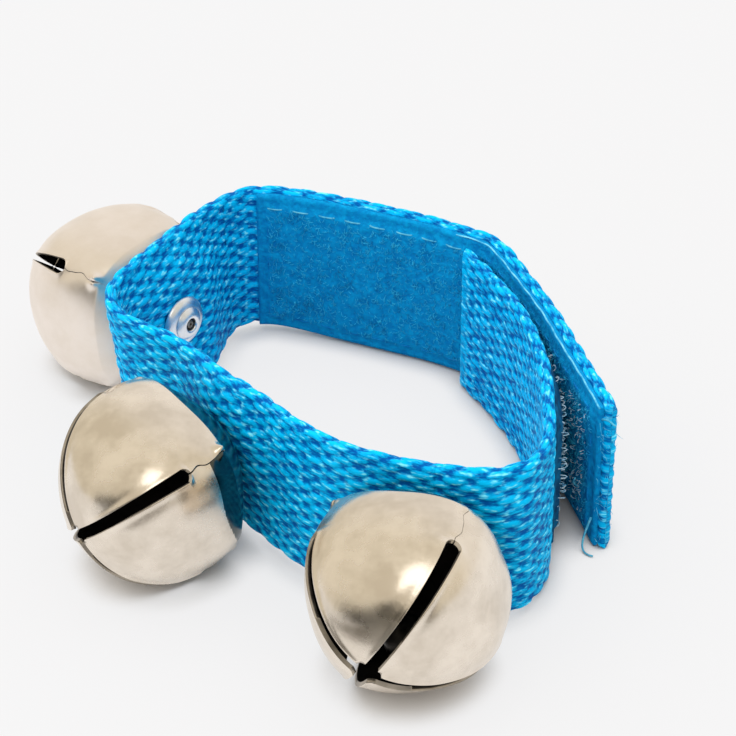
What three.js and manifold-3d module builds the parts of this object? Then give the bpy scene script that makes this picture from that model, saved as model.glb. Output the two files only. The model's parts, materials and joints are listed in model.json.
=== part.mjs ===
// Wrist bells: three folded jingle bells riveted to a webbing strap that closes with hook and loop tape.
// Millimetres, +Z up. The strap stands on its long edges, closed, as it does on a table.

import * as THREE from 'three';
import { mergeVertices } from 'three/addons/utils/BufferGeometryUtils.js';
import Module from 'manifold-3d';

// Clearances
const FIT_GAP = 0.3; // between two pieces that seat on each other
const SEW_GAP = 0.2; // between a tape and the webbing under it, and round the thread in its groove
const CLOSURE_GAP = 0.25; // between the hooks and the loops of the closed strap
const HINGE_GAP = 0.3; // between two stretches of webbing at a bend
const RIVET_PLAY = 0.25; // round the rivet's shank, on the radius
const STEM_PLAY = 0.3; // round the stem in the rivet's bore, on the radius

// Webbing
const WEBBING_WIDTH = 25;
const WEBBING_THICKNESS = 2.2;
const BAND_LIFT = 1.6; // the lower edge over the table, where the bells carry the band
const SIDE_LIFT = 2.6;
const BACK_LIFT = 1.3;

// Hook and loop tapes
const TAPE_MARGIN = 1.75; // webbing that shows past each long edge of a tape
const HOOK_THICKNESS = 0.9;
const LOOP_THICKNESS = 0.9;
const HOOK_TAPE_LENGTH = 45;
const HOOK_TAPE_SETBACK = 2.5; // from the tongue's free end
const LOOP_TAPE_LENGTH = 90;
const LOOP_TAPE_SETBACK = 0.6; // from the tail's free end

// Sewing thread
const THREAD = 0.45; // width and thickness of the laid seam
const SEAM_INSET = 2; // from the tape's edge to the seam

// Bells
const BELL_RADIUS = 14.1;
const BELL_FLATNESS = 0.946; // radius over a petal's middle, as a share of the round bell's
const BELL_SQUARENESS = 3; // power of the rounded square that the four petals fold into
const SIDE_DEPTH = 12.5; // where the petals' sides would close below the bell's middle, if they ran on
const SIDE_FULLNESS = 2.67; // power of the sides' curve
const FOLD_BELOW_MIDDLE = 7; // the fold between the petals and the base
const BASE_BELOW_MIDDLE = 11.9; // the flat that the rivet goes through
const BELL_BASE_RADIUS = 5.25; // of that flat
const BASE_FULLNESS = 1.5; // power of the base's curve
const SHEET = 0.7;
const SLOT_WIDTH = 2.4;
const SLOT_END_WIDTH = 3.2;
const SLOT_END_ABOVE_MIDDLE = -0.3; // where the slots stop, from the bell's middle towards its tip
const TIP_OPENING = 4.8;
const SEAM_WIDTH = 0.3;
const SEAM_END_BELOW_MIDDLE = 6.7;
const PELLET_RADIUS = 3.5;

// Blind rivet and its washer
const SHANK_RADIUS = 1.6;
const RIVET_WALL = 0.6;
const RIVET_HEAD_LIP = 0.9; // the head past the shank
const RIVET_HEAD_THICKNESS = 0.9;
const BULB_LIP = 1.3; // the closed end past the shank
const BULB_LENGTH = 2.6;
const WASHER_LIP = 1.65; // the washer past the rivet's head
const WASHER_RIM = 0.5;
const WASHER_CROWN = 0.9;
const STEM_HEAD_LIP = 0.45; // the stem's head past the bore
const STEM_HEAD_LENGTH = 1.5;
const STEM_RECESS = 0.5; // broken end below the rivet head's face

// Route of the webbing's top edge in plan. Each stretch starts at the bend where the last one ends.
const TONGUE_ROUTE = [[15.7, 13.1], [20.6, 3.2], [23.6, -4.7], [25.4, -13.3], [26.3, -21.6], [26.2, -30.5],
  [25.9, -37]];
const FRONT_ROUTE = [[24.4, -43], [22, -47], [17.5, -48.6], [10.4, -47.2], [4.9, -46], [-2.4, -43.2],
  [-9.4, -37.6], [-16, -29.6], [-22.4, -21.9], [-28.6, -15], [-33.2, -11.3], [-37.3, -7.7]];
const SIDE_ROUTE = [[-39.4, -3], [-39, 1.8], [-36.6, 6.4], [-30.8, 16.2], [-26.8, 23], [-23, 28.3]];
const TAIL_ROUTE = [[-20.2, 30.6], [-16, 31.1], [-5.3, 28], [3.7, 24.2], [11, 20.8], [16.7, 17.3]];
const PEEL_GAP = 4.5; // how far the tail's free end has come away from the tongue
const PEEL_START = 2; // the tongue's route point where the tail starts to come away

// Lean of the webbing (top outwards, degrees) at the bends and at the bell of the side
const FRONT_LEAN = 1;
const LEFT_BEND_LEAN = 7;
const SIDE_LEAN = 14;
const BEND_REACH = 6; // half the length over which lift and lean change at the front bend

// Where each bell's rivet goes through its stretch, and how far it draws the webbing out
const SIDE_BELL_ALONG = 17.8;
const SIDE_BELL_PULL = 0.6;
const LEFT_BELL_ALONG = 56.9;
const LEFT_BELL_PULL = 1.3;
const RIGHT_BELL_ALONG = 17.6;
const RIGHT_BELL_PULL = -0.6;

// The bells. In degrees, a tip droops under level and swings along the strap, and the bell is turned
// about its rivet
const BELLS = [
  { name: 'bell_1', stretch: 'side', along: SIDE_BELL_ALONG, pull: SIDE_BELL_PULL,
    droop: 2, swing: 9, roll: -1 },
  { name: 'bell_2', stretch: 'front', along: LEFT_BELL_ALONG, pull: LEFT_BELL_PULL,
    droop: 8.8, swing: 1.3, roll: -8 },
  { name: 'bell_3', stretch: 'front', along: RIGHT_BELL_ALONG, pull: RIGHT_BELL_PULL,
    droop: 15.3, swing: 9, roll: 13.5 },
];
const PUCKER_RADIUS = 10; // reach of the flat that each bell presses into the webbing

// Fineness
const STATION_STEP = 3;
const SHORTEST_STEP = 0.2; // of a strip's first and last step, as a share of a full one
const WIDTH_STEPS = 6; // across a stretch that bells press on
const BELL_SIDES = 24;
const TIP_RINGS = 6; // from the tip to the bell's middle
const SIDE_RINGS = 3; // from there to the fold
const BASE_RINGS = 3; // from the fold to the flat
const ROUND_SIDES = 14;
const PELLET_SIDES = 12;
const ROUTE_SAMPLES = 40; // per route point, for arc lengths

const wasm = await Module();
wasm.setup();

const UP = new THREE.Vector3(0, 0, 1);
const radians = THREE.MathUtils.degToRad;

// Materials
function nickel() {
  return new THREE.MeshStandardMaterial({ color: 0xcfc4b2, roughness: 0.3, metalness: 1 });
}

function rivetMetal() {
  return new THREE.MeshStandardMaterial({ color: 0xd9dbdd, roughness: 0.25, metalness: 1 });
}

function webbingCloth() {
  return new THREE.MeshStandardMaterial({ color: 0x0a84d6, roughness: 0.8, metalness: 0 });
}

function tapeCloth() {
  return new THREE.MeshStandardMaterial({ color: 0x0a76b4, roughness: 0.95, metalness: 0 });
}

function thread() {
  return new THREE.MeshStandardMaterial({ color: 0x6cc3e6, roughness: 0.7, metalness: 0 });
}

// Solids: a closed geometry becomes a manifold and back, for cuts and joins
function toManifold(geometry) {
  const bare = geometry.clone();
  bare.deleteAttribute('normal');
  bare.deleteAttribute('uv');
  const merged = mergeVertices(bare, 1e-5);
  return new wasm.Manifold(new wasm.Mesh({
    numProp: 3,
    vertProperties: new Float32Array(merged.attributes.position.array),
    triVerts: new Uint32Array(merged.index.array),
  }));
}

function toGeometry(manifold) {
  const mesh = manifold.getMesh();
  const geometry = new THREE.BufferGeometry();
  geometry.setAttribute('position', new THREE.BufferAttribute(mesh.vertProperties, 3));
  geometry.setIndex(new THREE.BufferAttribute(mesh.triVerts, 1));
  geometry.computeVertexNormals();
  return geometry;
}

function cut(geometry, cutters) {
  let body = toManifold(geometry);
  for (const cutter of cutters) {
    body = body.subtract(toManifold(cutter));
  }
  return toGeometry(body);
}

function boxBetween(low, high) {
  const box = new THREE.BoxGeometry(high[0] - low[0], high[1] - low[1], high[2] - low[2]);
  return box.translate((low[0] + high[0]) / 2, (low[1] + high[1]) / 2, (low[2] + high[2]) / 2);
}

// A round bar along Z
function bar(radius, bottom, top) {
  const round = new THREE.CylinderGeometry(radius, radius, top - bottom, ROUND_SIDES);
  return round.rotateX(Math.PI / 2).translate(0, 0, (bottom + top) / 2);
}

// A turned piece about Z from [radius, height] points, listed upwards on the outside
function turned(points) {
  const profile = points.map(([radius, height]) => new THREE.Vector2(radius, height));
  return new THREE.LatheGeometry(profile, ROUND_SIDES).rotateX(Math.PI / 2);
}

// The strap's route: the tail runs outside the tongue, on top of the two tapes
const closureStack = WEBBING_THICKNESS + 2 * SEW_GAP + HOOK_THICKNESS + LOOP_THICKNESS + CLOSURE_GAP;

function planVector([x, y]) {
  return new THREE.Vector3(x, y, 0);
}

function closedTailPoints() {
  const tongue = new THREE.CatmullRomCurve3(TONGUE_ROUTE.map(planVector));
  const last = TONGUE_ROUTE.length - 2;
  const points = [];
  for (let i = 0; i <= last; i += 1) {
    const tangent = tongue.getTangent(i / (TONGUE_ROUTE.length - 1));
    const outward = UP.clone().cross(tangent);
    const share = Math.max(0, i - PEEL_START) / (last - PEEL_START);
    points.push(planVector(TONGUE_ROUTE[i]).addScaledVector(outward, closureStack + PEEL_GAP * share ** 2));
  }
  return points;
}

const openRoute = [TONGUE_ROUTE, FRONT_ROUTE, SIDE_ROUTE, TAIL_ROUTE].flat();
const route = new THREE.CatmullRomCurve3([...openRoute.map(planVector), ...closedTailPoints()]);
route.arcLengthDivisions = (route.points.length - 1) * ROUTE_SAMPLES;
const routeLengths = route.getLengths();
const strapLength = routeLengths[routeLengths.length - 1];

function stationOf(pointNumber) {
  return routeLengths[pointNumber * ROUTE_SAMPLES];
}

const frontStart = stationOf(openRoute.indexOf(FRONT_ROUTE[0]));
const sideStart = stationOf(openRoute.indexOf(SIDE_ROUTE[0]));
const tailStart = stationOf(openRoute.indexOf(TAIL_ROUTE[0]));
const backEnd = stationOf(openRoute.length - 1);
const peelStart = stationOf(openRoute.length + PEEL_START);
const stretchStart = { tongue: 0, front: frontStart, side: sideStart, tail: tailStart };
const bellStations = BELLS.map((bell) => stretchStart[bell.stretch] + bell.along);

// A value that eases from one station to the next
function eased(stops, station) {
  let value = stops[0][1];
  for (let i = 1; i < stops.length; i += 1) {
    const share = THREE.MathUtils.smoothstep(station, stops[i - 1][0], stops[i][0]);
    value += (stops[i][1] - stops[i - 1][1]) * share;
  }
  return value;
}

const leanStops = [[frontStart - BEND_REACH, 0], [frontStart + BEND_REACH, FRONT_LEAN],
  [bellStations[1] + BEND_REACH, FRONT_LEAN], [sideStart, LEFT_BEND_LEAN], [bellStations[0], SIDE_LEAN],
  [tailStart, 0]];
const liftStops = [[frontStart - BEND_REACH, 0], [frontStart + BEND_REACH, BAND_LIFT],
  [sideStart, BAND_LIFT], [bellStations[0], SIDE_LIFT], [tailStart, BACK_LIFT], [backEnd, BACK_LIFT],
  [peelStart, 0]];

// Frame of the webbing at a station: along, out of the loop and up its width, with the middle of its width
function webbingFrame(station) {
  const share = THREE.MathUtils.clamp(station / strapLength, 0, 1);
  const along = route.getTangentAt(share);
  const level = UP.clone().cross(along);
  const lean = radians(eased(leanStops, station));
  const out = level.clone().multiplyScalar(Math.cos(lean)).addScaledVector(UP, -Math.sin(lean));
  const across = UP.clone().multiplyScalar(Math.cos(lean)).addScaledVector(level, Math.sin(lean));
  const edge = route.getPointAt(share);
  edge.z = eased(liftStops, station) + WEBBING_WIDTH * Math.cos(lean);
  edge.z += (WEBBING_THICKNESS / 2) * Math.sin(lean);
  return { along, out, across, lean, middle: edge.addScaledVector(across, -WEBBING_WIDTH / 2) };
}

// The bells press the webbing flat against their bases, square to their rivets
let presses = [];

// A point by its station, its depth out of the webbing's middle layer and its place across the width
function webbingPoint(station, depth, width) {
  const { out, across, middle } = webbingFrame(station);
  const point = middle.addScaledVector(across, width);
  const face = point.clone().addScaledVector(out, WEBBING_THICKNESS / 2);
  let shift = 0;
  for (const press of presses) {
    const reach = Math.hypot(station - press.station, width - press.width) / PUCKER_RADIUS;
    const toBase = press.seat.clone().sub(face).dot(press.axis) / out.dot(press.axis);
    shift += toBase * Math.exp(-(reach ** 4));
  }
  return point.addScaledVector(out, depth + shift);
}

// A strip of the strap between two stations, two depths and two places across the width
function strip(stations, depths, widths, widthSteps) {
  const [start, end] = stations;
  const marks = [start];
  const first = Math.ceil(start / STATION_STEP + SHORTEST_STEP);
  const last = Math.floor(end / STATION_STEP - SHORTEST_STEP);
  for (let k = first; k <= last; k += 1) {
    marks.push(k * STATION_STEP);
  }
  marks.push(end);
  const ring = [];
  for (let j = 0; j <= widthSteps; j += 1) {
    ring.push([depths[1], THREE.MathUtils.lerp(widths[0], widths[1], j / widthSteps)]);
  }
  for (let j = widthSteps; j >= 0; j -= 1) {
    ring.push([depths[0], THREE.MathUtils.lerp(widths[0], widths[1], j / widthSteps)]);
  }
  const size = ring.length;
  const ringAt = (mark) => ring.flatMap(([depth, width]) => webbingPoint(mark, depth, width).toArray());
  const positions = marks.flatMap(ringAt);
  const faces = [];
  for (let i = 0; i + 1 < marks.length; i += 1) {
    for (let j = 0; j < size; j += 1) {
      const here = i * size + j;
      const next = i * size + ((j + 1) % size);
      faces.push(here, next, next + size, here, next + size, here + size);
    }
  }
  const lastRing = (marks.length - 1) * size;
  for (let j = 0; j < widthSteps; j += 1) {
    const [a, b, c, d] = [j, j + 1, size - 2 - j, size - 1 - j];
    faces.push(a, d, c, a, c, b);
    faces.push(lastRing + a, lastRing + b, lastRing + c, lastRing + a, lastRing + c, lastRing + d);
  }
  const geometry = new THREE.BufferGeometry();
  geometry.setAttribute('position', new THREE.Float32BufferAttribute(positions, 3));
  geometry.setIndex(faces);
  geometry.computeVertexNormals();
  return geometry;
}

// A frame-shaped strip: the outline of a seam, as wide as the thread, with room round it if asked
function seamFrame(stations, depths, halfWidth, room) {
  const half = THREAD / 2 + room;
  const [start, end] = stations;
  const [low, high] = depths;
  const wide = halfWidth + half;
  const narrow = halfWidth - half;
  const outer = strip([start - half, end + half], depths, [-wide, wide], 1);
  const inner = strip([start + half, end - half], [low - THREAD, high + THREAD], [-narrow, narrow], 1);
  return cut(outer, [inner]);
}

// The bell, its tip along +Z and its middle at the origin: an outer and an inner form, then the cuts

// One ring of the form: its reach over a petal's middle and its height, and how square it is
function tipRing(inset, share) {
  const polar = (share * Math.PI) / 2;
  const radius = BELL_RADIUS - inset;
  const square = Math.sin(polar) ** 2;
  const flatness = 1 + (BELL_FLATNESS - 1) * square;
  return { reach: radius * flatness * Math.sin(polar), height: radius * Math.cos(polar), square };
}

function sideRing(inset, share) {
  const below = share * FOLD_BELOW_MIDDLE;
  const closed = (below / SIDE_DEPTH) ** SIDE_FULLNESS;
  const reach = BELL_RADIUS * BELL_FLATNESS * (1 - closed) ** (1 / SIDE_FULLNESS) - inset;
  return { reach, height: -below, square: 1 };
}

function baseRing(inset, share) {
  const fold = sideRing(inset, 1);
  const flat = -BASE_BELOW_MIDDLE + inset;
  const left = (1 - share) ** BASE_FULLNESS;
  const reach = THREE.MathUtils.lerp(fold.reach, BELL_BASE_RADIUS, share);
  return { reach, height: THREE.MathUtils.lerp(flat, fold.height, left), square: 1 - share };
}

// The folded form: a ball over the tip, fuller sides down to the fold, and a base that rounds in to its
// flat. Its sections are rounded squares.
function bellForm(inset) {
  const rings = [];
  for (let i = 1; i <= TIP_RINGS; i += 1) {
    rings.push(tipRing(inset, i / TIP_RINGS));
  }
  for (let i = 1; i <= SIDE_RINGS; i += 1) {
    rings.push(sideRing(inset, i / SIDE_RINGS));
  }
  for (let i = 1; i <= BASE_RINGS; i += 1) {
    rings.push(baseRing(inset, i / BASE_RINGS));
  }
  const positions = [0, 0, BELL_RADIUS - inset];
  for (const ring of rings) {
    for (let j = 0; j < BELL_SIDES; j += 1) {
      const turn = ((j + 0.5) * 2 * Math.PI) / BELL_SIDES;
      const [c, s] = [Math.abs(Math.cos(turn)), Math.abs(Math.sin(turn))];
      const corner = (c ** BELL_SQUARENESS + s ** BELL_SQUARENESS) ** (-1 / BELL_SQUARENESS);
      const reach = ring.reach * (1 + (corner - 1) * ring.square);
      positions.push(reach * Math.cos(turn), reach * Math.sin(turn), ring.height);
    }
  }
  positions.push(0, 0, rings[rings.length - 1].height);
  const base = positions.length / 3 - 1;
  const faces = [];
  for (let j = 0; j < BELL_SIDES; j += 1) {
    const next = (j + 1) % BELL_SIDES;
    faces.push(0, 1 + j, 1 + next);
    for (let i = 0; i + 1 < rings.length; i += 1) {
      const upper = 1 + i * BELL_SIDES;
      const lower = upper + BELL_SIDES;
      faces.push(upper + j, lower + j, lower + next, upper + j, lower + next, upper + next);
    }
    const lowest = 1 + (rings.length - 1) * BELL_SIDES;
    faces.push(base, lowest + next, lowest + j);
  }
  const geometry = new THREE.BufferGeometry();
  geometry.setAttribute('position', new THREE.Float32BufferAttribute(positions, 3));
  geometry.setIndex(faces);
  return geometry;
}

function bellShell() {
  const beyond = 2 * BELL_RADIUS;
  const slotMiddle = SLOT_END_ABOVE_MIDDLE + SLOT_END_WIDTH / 2;
  const half = TIP_OPENING / 2;
  const cutters = [
    bellForm(SHEET),
    boxBetween([-half, -half, BELL_RADIUS / 2], [half, half, beyond]),
    bar(SHANK_RADIUS + RIVET_PLAY, -beyond, -BELL_RADIUS / 2),
  ];
  for (const turn of [45, 135].map(radians)) {
    const slot = boxBetween([-beyond, -SLOT_WIDTH / 2, slotMiddle], [beyond, SLOT_WIDTH / 2, beyond]);
    const slotEnd = bar(SLOT_END_WIDTH / 2, -beyond, beyond).rotateY(Math.PI / 2);
    slotEnd.translate(0, 0, slotMiddle);
    const seamEnd = -SEAM_END_BELOW_MIDDLE;
    const seam = boxBetween([-beyond, -SEAM_WIDTH / 2, seamEnd], [beyond, SEAM_WIDTH / 2, slotMiddle]);
    cutters.push(slot.rotateZ(turn), slotEnd.rotateZ(turn), seam.rotateZ(turn));
  }
  return cut(bellForm(0), cutters);
}

const shellGeometry = bellShell();

// Where a bell is: its rivet's axis leaves the webbing's outer face, drooping, at the height that
// lets the bell just touch the table
function seatBell(bell, station) {
  const { along, across, out, lean, middle } = webbingFrame(station);
  const axis = out.clone().addScaledVector(across, -Math.tan(radians(bell.droop) - lean));
  axis.addScaledVector(along, Math.tan(radians(bell.swing))).normalize();
  const upright = across.clone().addScaledVector(axis, -across.dot(axis)).normalize();
  const turn = new THREE.Matrix4().makeBasis(upright, axis.clone().cross(upright), axis);
  const turnedShell = shellGeometry.clone().rotateZ(radians(bell.roll)).applyMatrix4(turn);
  turnedShell.computeBoundingBox();
  const middleHeight = FIT_GAP + BASE_BELOW_MIDDLE;
  const seatHeight = -turnedShell.boundingBox.min.z - middleHeight * axis.z;
  const outerFace = middle.clone().addScaledVector(out, WEBBING_THICKNESS / 2 + bell.pull);
  const width = (seatHeight - outerFace.z) / across.z;
  const seat = outerFace.addScaledVector(across, width);
  return { ...bell, station, width, axis, seat, turn, middleHeight };
}

const seatedBells = BELLS.map((bell, i) => seatBell(bell, bellStations[i]));
presses = seatedBells;

function bellGroup(bell) {
  const group = new THREE.Group();
  group.quaternion.setFromRotationMatrix(bell.turn);
  group.position.copy(bell.seat);
  return group;
}

// The riveted stack along the bell's axis: radii, and heights from the webbing's outer face
const boreRadius = SHANK_RADIUS - RIVET_WALL;
const rivetHeadRadius = SHANK_RADIUS + RIVET_HEAD_LIP;
const washerRadius = rivetHeadRadius + WASHER_LIP;
const stemRadius = boreRadius - STEM_PLAY;
const innerFace = -WEBBING_THICKNESS;
const washerTop = innerFace - FIT_GAP;
const washerBottom = washerTop - WASHER_CROWN;
const headTop = washerBottom - FIT_GAP;
const headBottom = headTop - RIVET_HEAD_THICKNESS;
const bulbBottom = FIT_GAP + SHEET + FIT_GAP;
const bulbTop = bulbBottom + BULB_LENGTH;

function washerGeometry() {
  const hole = SHANK_RADIUS + RIVET_PLAY;
  return turned([[hole, washerTop], [hole, washerBottom], [rivetHeadRadius, washerBottom],
    [washerRadius, washerTop - WASHER_RIM], [washerRadius, washerTop], [hole, washerTop]]);
}

function rivetGeometry() {
  const headEdge = headTop - RIVET_HEAD_THICKNESS / 2;
  const headFace = SHANK_RADIUS + RIVET_HEAD_LIP / 2;
  const bulbRadius = SHANK_RADIUS + BULB_LIP;
  const bulbShoulder = BULB_LENGTH / 4;
  return turned([[boreRadius, bulbTop], [boreRadius, headBottom], [headFace, headBottom],
    [rivetHeadRadius, headEdge], [rivetHeadRadius, headTop], [SHANK_RADIUS, headTop],
    [SHANK_RADIUS, bulbBottom], [bulbRadius, bulbBottom + bulbShoulder],
    [bulbRadius, bulbTop - bulbShoulder], [SHANK_RADIUS, bulbTop], [boreRadius, bulbTop]]);
}

function stemGeometry() {
  const broken = headBottom + STEM_RECESS;
  const headSeat = bulbTop + FIT_GAP;
  const end = headSeat + STEM_HEAD_LENGTH;
  const stemHeadRadius = boreRadius + STEM_HEAD_LIP;
  return turned([[0, broken], [stemRadius, broken], [stemRadius, headSeat], [stemHeadRadius, headSeat],
    [stemHeadRadius, end - STEM_HEAD_LENGTH / 3], [stemRadius, end], [0, end]]);
}

function named(name, geometry, material) {
  const mesh = new THREE.Mesh(geometry, material);
  mesh.name = name;
  return mesh;
}

const wristBells = new THREE.Group();

// Bells with their pellets, rivets, washers and broken-off stems
const pelletDrop = BELL_FLATNESS * BELL_RADIUS - SHEET - PELLET_RADIUS - FIT_GAP;
for (const bell of seatedBells) {
  const group = bellGroup(bell);
  const shell = named(`${bell.name}_shell`, shellGeometry.clone(), nickel());
  shell.position.z = bell.middleHeight;
  shell.rotation.z = radians(bell.roll);
  group.add(shell);
  group.add(named(`${bell.name}_rivet`, rivetGeometry(), rivetMetal()));
  group.add(named(`${bell.name}_washer`, washerGeometry(), rivetMetal()));
  group.add(named(`${bell.name}_rivet_stem`, stemGeometry(), rivetMetal()));
  wristBells.add(group);

  const ball = new THREE.SphereGeometry(PELLET_RADIUS, PELLET_SIDES, PELLET_SIDES / 2);
  const pellet = named(`${bell.name}_pellet`, ball, rivetMetal());
  pellet.position.copy(bell.seat).addScaledVector(bell.axis, bell.middleHeight);
  pellet.position.z -= pelletDrop;
  wristBells.add(pellet);
}

// Webbing: four stretches with a small gap at each bend, and a hole for each rivet
function webbingStretch(name, start, end) {
  const half = WEBBING_THICKNESS / 2;
  const edges = [-WEBBING_WIDTH / 2, WEBBING_WIDTH / 2];
  const holes = seatedBells
    .filter((bell) => bell.station > start && bell.station < end)
    .map((bell) => {
      const group = bellGroup(bell);
      group.updateMatrix();
      const hole = bar(SHANK_RADIUS + RIVET_PLAY, -2 * WEBBING_THICKNESS, WEBBING_THICKNESS);
      return hole.applyMatrix4(group.matrix);
    });
  const plain = strip([start, end], [-half, half], edges, holes.length ? WIDTH_STEPS : 1);
  wristBells.add(named(name, cut(plain, holes), webbingCloth()));
}

const halfGap = HINGE_GAP / 2;
webbingStretch('strap_tongue', 0, frontStart - halfGap);
webbingStretch('strap_band_front', frontStart + halfGap, sideStart - halfGap);
webbingStretch('strap_band_side', sideStart + halfGap, tailStart - halfGap);
webbingStretch('strap_tail', tailStart + halfGap, strapLength);

// Tapes with a groove for their seam, and the seam's thread lying in it
function sewnTape(name, stations, face, thickness, side) {
  const near = side * face;
  const far = side * (face + thickness);
  const grooveFloor = side * (face + thickness - THREAD - SEW_GAP);
  const seamStations = [stations[0] + SEAM_INSET, stations[1] - SEAM_INSET];
  const tapeHalf = WEBBING_WIDTH / 2 - TAPE_MARGIN;
  const seamHalf = tapeHalf - SEAM_INSET;
  const between = (a, b) => [Math.min(a, b), Math.max(a, b)];
  const groove = seamFrame(seamStations, between(grooveFloor, far + side), seamHalf, SEW_GAP);
  const plain = strip(stations, between(near, far), [-tapeHalf, tapeHalf], 1);
  const seam = seamFrame(seamStations, between(far - side * THREAD, far), seamHalf, 0);
  wristBells.add(named(name, cut(plain, [groove]), tapeCloth()));
  wristBells.add(named(`${name}_stitching`, seam, thread()));
}

const tapeFace = WEBBING_THICKNESS / 2 + SEW_GAP;
const loopEnd = strapLength - LOOP_TAPE_SETBACK;
const hookEnd = HOOK_TAPE_SETBACK + HOOK_TAPE_LENGTH;
sewnTape('hook_tape', [HOOK_TAPE_SETBACK, hookEnd], tapeFace, HOOK_THICKNESS, 1);
sewnTape('loop_tape', [loopEnd - LOOP_TAPE_LENGTH, loopEnd], tapeFace, LOOP_THICKNESS, -1);

// The origin is on the table, under the middle of the object's box
wristBells.updateMatrixWorld(true);
const bounds = new THREE.Box3().setFromObject(wristBells, true);
const centre = bounds.getCenter(new THREE.Vector3());
wristBells.position.set(-centre.x, -centre.y, -bounds.min.z);

export default wristBells;
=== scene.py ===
# %% [markdown]
# # Wrist bells
# A blue webbing strap closes round the wrist with hook and loop tape, and carries folded
# jingle bells on rivets. The CAD model already holds every piece in its right place and says
# how it moves. This lesson dresses that frame: each piece is worked out again as a fine numpy
# surface, in the same place, and the pieces on the tongue, the rivets, the bells and the
# pellets are parented to an empty named for their CAD body.

# %% The imported frame
import json

import bmesh
import bpy
import numpy as np
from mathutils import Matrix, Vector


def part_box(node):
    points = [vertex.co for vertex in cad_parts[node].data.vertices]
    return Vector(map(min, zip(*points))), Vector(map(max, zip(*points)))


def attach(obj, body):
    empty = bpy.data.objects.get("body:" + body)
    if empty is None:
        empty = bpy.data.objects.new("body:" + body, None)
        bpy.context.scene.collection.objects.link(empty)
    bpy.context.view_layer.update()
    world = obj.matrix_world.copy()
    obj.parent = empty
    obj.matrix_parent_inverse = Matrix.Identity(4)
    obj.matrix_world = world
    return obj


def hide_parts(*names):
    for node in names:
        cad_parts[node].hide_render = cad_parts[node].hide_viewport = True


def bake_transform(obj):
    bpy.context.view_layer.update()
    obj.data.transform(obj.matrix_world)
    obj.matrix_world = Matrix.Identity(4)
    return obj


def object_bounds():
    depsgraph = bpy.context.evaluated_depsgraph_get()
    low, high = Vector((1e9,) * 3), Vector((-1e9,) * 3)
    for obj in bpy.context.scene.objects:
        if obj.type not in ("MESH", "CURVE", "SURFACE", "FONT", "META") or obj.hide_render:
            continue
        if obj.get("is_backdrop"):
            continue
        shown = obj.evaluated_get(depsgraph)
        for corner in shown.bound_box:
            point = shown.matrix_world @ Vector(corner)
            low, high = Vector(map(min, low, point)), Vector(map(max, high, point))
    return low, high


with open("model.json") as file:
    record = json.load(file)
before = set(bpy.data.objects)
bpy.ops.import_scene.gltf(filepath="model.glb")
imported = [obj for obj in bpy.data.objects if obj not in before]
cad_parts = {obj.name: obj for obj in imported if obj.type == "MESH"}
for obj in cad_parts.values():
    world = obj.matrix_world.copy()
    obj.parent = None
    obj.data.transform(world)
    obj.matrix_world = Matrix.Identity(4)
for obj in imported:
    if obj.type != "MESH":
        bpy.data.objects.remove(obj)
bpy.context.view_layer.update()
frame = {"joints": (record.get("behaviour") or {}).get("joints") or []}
joints = {joint["name"]: joint for joint in frame["joints"]}
MM = 0.001
scene = bpy.context.scene
scene.view_settings.view_transform = "Standard"

# %% [markdown]
# ## From arrays to meshes
# Every piece below is an array of points in millimetres and an array of corner numbers. A
# grid of points gives four-cornered faces between neighbours. A tube is a grid that is closed
# one way round, with its two ends filled. One helper turns the arrays into an object, and
# turns the faces round if they look inwards, which the signed volume tells.


# %% Helpers for points and faces
def unit(vectors):
    """Each vector divided by its own length."""
    return vectors / np.linalg.norm(vectors, axis=-1, keepdims=True)


def grid_quads(rows, columns, wrap_columns=False, wrap_rows=False):
    """Faces between neighbours of a grid of points, joined last to first where asked."""
    row = np.arange(rows if wrap_rows else rows - 1)[:, None]
    column = np.arange(columns if wrap_columns else columns - 1)[None, :]
    below = (row + 1) % rows * columns
    after = (column + 1) % columns
    here = row * columns
    corners = [here + column, here + after, below + after, below + column]
    return np.stack(np.broadcast_arrays(*corners), axis=-1).reshape(-1, 4)


def capped_sweep(rings):
    """Rings of points joined one to the next, each end closed by a fan round its middle."""
    rows, columns = rings.shape[:2]
    points = np.vstack([rings.reshape(-1, 3), rings[[0, -1]].mean(axis=1)])
    column = np.arange(columns)
    after = (column + 1) % columns
    last = (rows - 1) * columns
    hub = np.full(columns, rows * columns)
    first_cap = np.stack([after, column, hub], axis=1)
    last_cap = np.stack([last + column, last + after, hub + 1], axis=1)
    return points, [grid_quads(rows, columns, wrap_columns=True), first_cap, last_cap]


def signed_volume(points, faces):
    """Sum over all faces of the volume between the face and the origin, positive if they face out."""
    total = 0.0
    for group in faces:
        corner = points[group]
        fan = np.cross(corner[:, 1:-1], corner[:, 2:])
        total += (corner[:, :1] * fan).sum() / 6
    return total


def make_piece(name, points, faces, materials):
    """A mesh object at the origin, from points in millimetres, facing outwards. The first group of
    faces is shaded smooth, and any end caps after it stay flat."""
    if signed_volume(points, faces) < 0:
        faces = [group[:, ::-1] for group in faces]
    mesh = bpy.data.meshes.new(name)
    mesh.from_pydata((points * MM).tolist(), [], [face for group in faces for face in group.tolist()])
    mesh.polygons.foreach_set("use_smooth", np.arange(len(mesh.polygons)) < len(faces[0]))
    for material in materials:
        mesh.materials.append(material)
    obj = bpy.data.objects.new(name, mesh)
    scene.collection.objects.link(obj)
    return obj


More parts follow.
